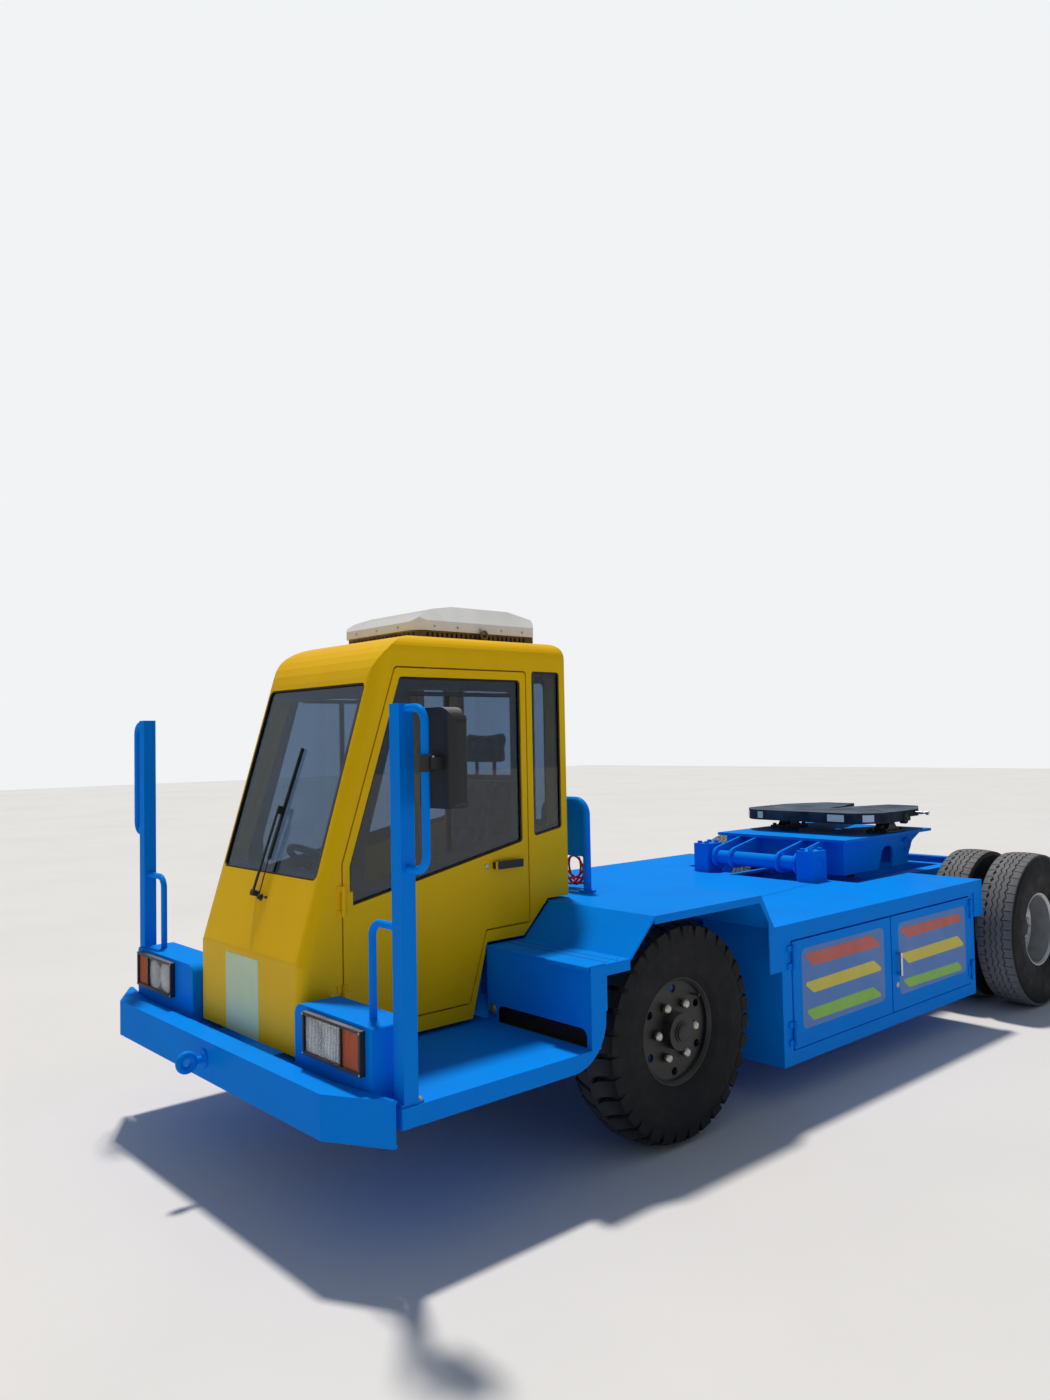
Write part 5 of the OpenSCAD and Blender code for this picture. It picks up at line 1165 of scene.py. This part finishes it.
def bowls(side):
    # The grid of the reflector, 2 mm inside the lamp's edge, as a thin sheet
    (x0, x1), (z0, z1) = LAMP_X, LAMP_Z
    points, faces = [], []
    for j in range(LINES + 1):
        for i in range(COLUMNS + 1):
            x = x0 + 2 + (x1 - x0 - 4) * i / COLUMNS
            z = z0 + 2 + (z1 - z0 - 4) * j / LINES
            r = min(math.hypot(x - bulb, z - BULB_Z) for bulb in BULB_X)
            depth = BOWL_DEPTH * (1 - min(1, r / BOWL_R) ** 2)
            points.append(at(side * x, LAMP_FACE_Y - 10.4 + depth, z))
    n = COLUMNS + 1
    for j in range(LINES):
        faces += [[j * n + i, j * n + i + 1, j * n + i + n + 1, j * n + i + n] for i in range(COLUMNS)]
    work = bmesh.new()
    work.from_mesh(mesh_of(points, faces))
    bmesh.ops.solidify(work, geom=work.faces, thickness=0.0003)
    sheet = bpy.data.meshes.new("bowls")
    work.to_mesh(sheet)
    work.free()
    return sheet


reflectors, lenses, screws = [], [], []
for side in (-1, 1):
    reflectors.append(bowls(side))
    for bulb in BULB_X:
        reflectors.append(turned([(6, 0), (6, 3), (4, 7), (1, 8)], at(side * bulb, LAMP_FACE_Y - 1, BULB_Z),
                                 (0, -1, 0), 16))
    outline = [(side * x, z) for x, z in rounded_box(LAMP_X[0], LAMP_Z[0], LAMP_X[1], LAMP_Z[1], 5)]
    lenses.append(slab("y", LAMP_FACE_Y - 12, outline, 1.3))
    screws += [turned([(4, 0), (4, 1), (2.5, 2.5)], at(side * x, LAMP_FACE_Y - 20, z), (0, -1, 0), 12)
               for x in (524, 859) for z in (559, 684)]
reflector = show("headlight_reflectors", joined(reflectors), mirror_silver, "chassis")
lens = show("headlight_lenses", joined(lenses), clear_lens, "chassis")
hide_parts("headlights")
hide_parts("headlights")
show("lamp_screws", joined(screws), zinc_plate, "chassis")

# %% [markdown]
# ## Roof unit, mirror and posts
# The white cover is held by a row of screws along its lower edge, and a grille fills the gap below
# it in front. The mirror's glass lies in a recess at its back, and a black clamp with two screws
# holds it to the grip tube. The posts stand on foot plates with bolts.

# %% Cover screws, mirror glass and post bolts
SCREW = [(5, 0), (5, 1.5), (3, 3.5)]
UNIT_Y = 728
SCREW_Z = ROOF_Z + 34 + 16
MIRROR_BACK_Y = 234 + 58
cover_screws = []
for side in (-1, 1):
    one = faced(turned(SCREW, (0, 0, 0), (1, 0, 0), 12), side)
    cover_screws.append(row(one, 5, at(CAB_X + side * 270, UNIT_Y + 90, SCREW_Z), (0, 0.115, 0), zinc_plate))
front_screw = turned(SCREW, (0, 0, 0), (0, -1, 0), 12)
cover_screws.append(row(front_screw, 3, at(CAB_X - 150, UNIT_Y, SCREW_Z), (0.150, 0, 0), zinc_plate))
show("cover_screws", joined(cover_screws), zinc_plate, "chassis")
slat = plate([(0, 0, 0), (0.014, 0, 0), (0.014, 0, 0.022), (0, 0, 0.022)], (0, 0.003, 0))
front_grille = row(slat, 15, at(CAB_X - 217, UNIT_Y + 28.5, ROOF_Z + 6), (0.030, 0, 0), black_abs)
show("roof_grille", front_grille, black_abs, "chassis")
glass = slab("y", MIRROR_BACK_Y - 3.4, rounded([(1000, 1374, 14), (1151, 1374, 14), (1151, 1646, 50),
                                                (1000, 1646, 50)]), 2.8)
show("mirror_glass", glass, mirror_silver, "chassis")
clamp_bolts = [turned([(5, 0), (5, 4), (3, 5)], at(1090 + dx, 202, 1511.5), (0, 0, 1), 6) for dx in (-24, 24)]
show("clamp_bolts", joined(clamp_bolts), zinc_plate, "chassis")
foot_bolts = [turned([(9, 0), (9, 2), (7.5, 2.2), (7.5, 9), (6, 10)], at(side * x, 226, 490.2), (0, 0, 1), 6)
              for side in (-1, 1) for x in (934, 990)]
show("post_bolts", joined(foot_bolts), zinc_plate, "chassis")

# %% [markdown]
# ## Coupling plate
# The plate's front edge and its slanted front corners carry blank plates, a bright release pin
# stands out on each side, and the bosses on which it pitches end in black caps.

# %% Blank plates and release pins
PLATE_Y = 4180
PLATE_TOP = 1097
BLANK_Z = (1046, 1086)
BLANKS = {
    "cream": (cream_plate, (190, -400.6), (300, -400.6)),
    "white": (white_plate, (393, -354.5), (438, -304.5)),
    "white_far": (white_plate, (-438, -304.5), (-393, -354.5)),
    "pale_far": (pale_plate, (-300, -400.6), (-262, -400.6)),
}
for name, (material, start, end) in BLANKS.items():
    low, high = [[at(x, PLATE_Y + y, z) for x, y in (start, end)] for z in BLANK_Z]
    show("coupling_" + name + "_plate", plate([*low, *reversed(high)], (0, -0.0004, 0)), material,
         "coupling_plate")
PIN = [(9, 0), (9, 52), (6, 54), (6, 72), (12, 74), (12, 90), (8, 92)]
pins = [turned(PIN, at(side * 462, PLATE_Y + along, PLATE_TOP - 20), (side, 0.1, 0), 20)
        for side, along in ((1, 118), (-1, 96))]
show("release_pins", joined(pins), ground_steel, "coupling_plate")
boss_caps = [turned([(24, 0), (24, 3), (20, 4), (20, 2), (9, 2), (9, 7), (6, 8)],
                    at(side * 473, PLATE_Y, PLATE_TOP - 45), (side, 0, 0), 28) for side in (-1, 1)]
show("boss_caps", joined(boss_caps), chassis_black, "coupling_plate")

# %% [markdown]
# A bent steel rod, welded by both ends to the table's rear corner, takes the hook of a crane.
# It is one round section that follows an open ring, so the sweep tree makes it.

# %% Lifting ring on the table
LIFT_RING_R = 34
bends = [math.radians(200 + 12 * k) for k in range(27)]
ring_line = [at(410, 4300 + LIFT_RING_R * math.cos(a), 884 + LIFT_RING_R * math.sin(a)) for a in bends]
show("table_ring", sweep(ring_line, 13, 13, 6.4, azure_enamel), azure_enamel, "lift_table")

# %% [markdown]
# ## Welds
# Plates of the frame meet in fillet welds, which show as thin raised lines. A weld bead is a
# small round section that follows the joint, in the colour of the paint on it.

# %% Weld beads
BLOCK_FOOT = [(302, 3272), (408, 3272), (408, 3416), (302, 3416)]
beads = [sweep([at(405, 3277, 757.4), at(560, 2060, 757.4)], 7, 3, 1.4, azure_enamel)]
for side in (-1, 1):
    beads.append(sweep([at(side * x, y, 758) for x, y in BLOCK_FOOT], 7, 5, 2.4, azure_enamel))
show("deck_welds", joined(beads), azure_enamel, "chassis")
table_lines = [((side * 398, 3640), (side * 398, 4328)) for side in (-1, 1)] + [((-350, 3600), (350, 3600))]
table_beads = [sweep([at(x, y, 947) for x, y in ends], 6, 6, 2.9, azure_enamel) for ends in table_lines]
show("table_welds", joined(table_beads), azure_enamel, "lift_table")

# %% [markdown]
# Each step ends in a nosing, a strip that stands a little proud of the riser over its outer part.
# Behind it two joints in the tread show as fine dark lines, and a small hole drains the corner. A
# grey plug closes a hole in the riser beside the cab. A matt black sheet stands in the gutter behind
# the riser's slot: it is painted shade, so that the slot looks dark as the shade behind it does.

# %% Step nosings, joints and plugs
TREAD_Z = 766.1
NOSING = [(938, 766), (1022, 766), (1022, 770), (936, 770), (933, 767), (933, 752), (937, 752)]
SLOT_SHADE = [(961, 482.3), (992, 482.3), (992, 560), (993.7, 560), (993.7, 483.8), (961, 483.8)]
nosings, joints, plugs, slot_shades = [], [], [], []
for side in (-1, 1):
    cab_side = CAB_HALF + side * CAB_X
    nosings.append(slab("x", side * 792, NOSING, side * 211))
    for y in (1046, 1094):
        near, far = side * (cab_side + 8), side * 996
        joints.append(slab("z", TREAD_Z, [(near, y), (far, y), (far, y + 2.5), (near, y + 2.5)], 0.6))
    joints.append(turned([(5, 0), (5, 0.7)], at(side * 972, 1118, TREAD_Z), (0, 0, 1), 16))
    # Painted shade: a black sheet behind the slot, for the shade in the gutter
    slot_shades.append(slab("x", side * (cab_side + 40), SLOT_SHADE, side * (950 - cab_side)))
    plug_place = at(side * (cab_side + 34), 953.6, 524)
    plugs.append(turned([(24, 0), (24, 3), (20, 6), (6, 8)], plug_place, (0, -1, 0), 24))
show("step_nosings", joined(nosings), azure_enamel, "chassis", soften_mm=1)
show("step_joints", joined(joints), seal_rubber, "chassis")
show("gutter_lining", joined(slot_shades), seal_rubber, "chassis")
show("riser_plugs", joined(plugs), zinc_plate, "chassis")

# %% [markdown]
# A vinyl mat covers the cab's floor, and two pedals hang in front of it. They show when a door is
# open. The mat is a thin plate, and its finish carries the grain's bump.

# %% Floor mat and pedals
mat = slab("z", 534.4, [(CAB_X + x, y) for x, y in rounded_box(-345, 300, 345, 850, 20)], 4)
show("floor_mat", mat, mat_vinyl, "chassis")
PAD = [(338, 640), (362, 566), (368, 568), (344, 642)]
LEVER = [(345, 606), (352, 600), (300, 700), (292, 700)]
pedals = []
for x, half in ((-70, 36), (70, 26)):
    pedals += [slab("x", CAB_X + x - half, PAD, 2 * half), slab("x", CAB_X + x - 6, LEVER, 12)]
show("pedals", joined(pedals), black_abs, "chassis", soften_mm=1)

# %% [markdown]
# ## Studio
# The tractor stands on a plain pale floor. A large soft lamp stands high on its far side, where
# the sun was, and an even pale sky fills the shade. Only the camera sees the white background,
# through glass too, so the object isn't lit more for its sake. Mirrors and glossy faces see a
# darker grey, as between buildings.

# %% Floor, sky and lamps
FLOOR_HALF = 40
SUN_FROM = (-0.28, 0.177, 1.0)
corners = [(-FLOOR_HALF, -FLOOR_HALF, 0), (FLOOR_HALF, -FLOOR_HALF, 0), (FLOOR_HALF, FLOOR_HALF, 0),
           (-FLOOR_HALF, FLOOR_HALF, 0)]
floor_mesh = mesh_of(corners, [[0, 1, 2, 3]])
floor_mesh.materials.append(finish("pale_studio_floor", "#D8DBE0", "#CFD2D8", 0.5, 2500, 0.8, 30, 0.3))
linked("floor", floor_mesh)

world = bpy.data.worlds.new("sky")
scene.world = world
world.use_nodes = True
tree = world.node_tree
tree.nodes.clear()

ray = add(tree, "ShaderNodeLightPath").outputs
seen = add(tree, "ShaderNodeMath", {0: ray["Is Camera Ray"], 1: ray["Is Transmission Ray"]},
           operation="MAXIMUM")
fill = add(tree, "ShaderNodeBackground", {"Color": linear("#D6E2F2"), "Strength": 0.32})
mirrored = add(tree, "ShaderNodeBackground", {"Color": linear("#CBD3DD"), "Strength": 0.5})
backdrop = add(tree, "ShaderNodeBackground", {"Color": linear("#F1F3F5"), "Strength": 1.0})
unseen = add(tree, "ShaderNodeMixShader", {0: ray["Is Glossy Ray"], 1: fill.outputs[0],
                                           2: mirrored.outputs[0]})
sky = add(tree, "ShaderNodeMixShader", {0: seen.outputs[0], 1: unseen.outputs[0], 2: backdrop.outputs[0]})
add(tree, "ShaderNodeOutputWorld", {0: sky.outputs[0]})

sun_data = bpy.data.lights.new("sun", "SUN")
sun_data.energy = 3.1
sun_data.angle = math.radians(5)
sun_data.color = linear("#FFF4E4")[:3]
sun = linked("sun", sun_data)
sun.rotation_mode = "QUATERNION"
sun.rotation_quaternion = Vector(SUN_FROM).to_track_quat("Z", "Y")
scene.view_settings.view_transform = "Standard"
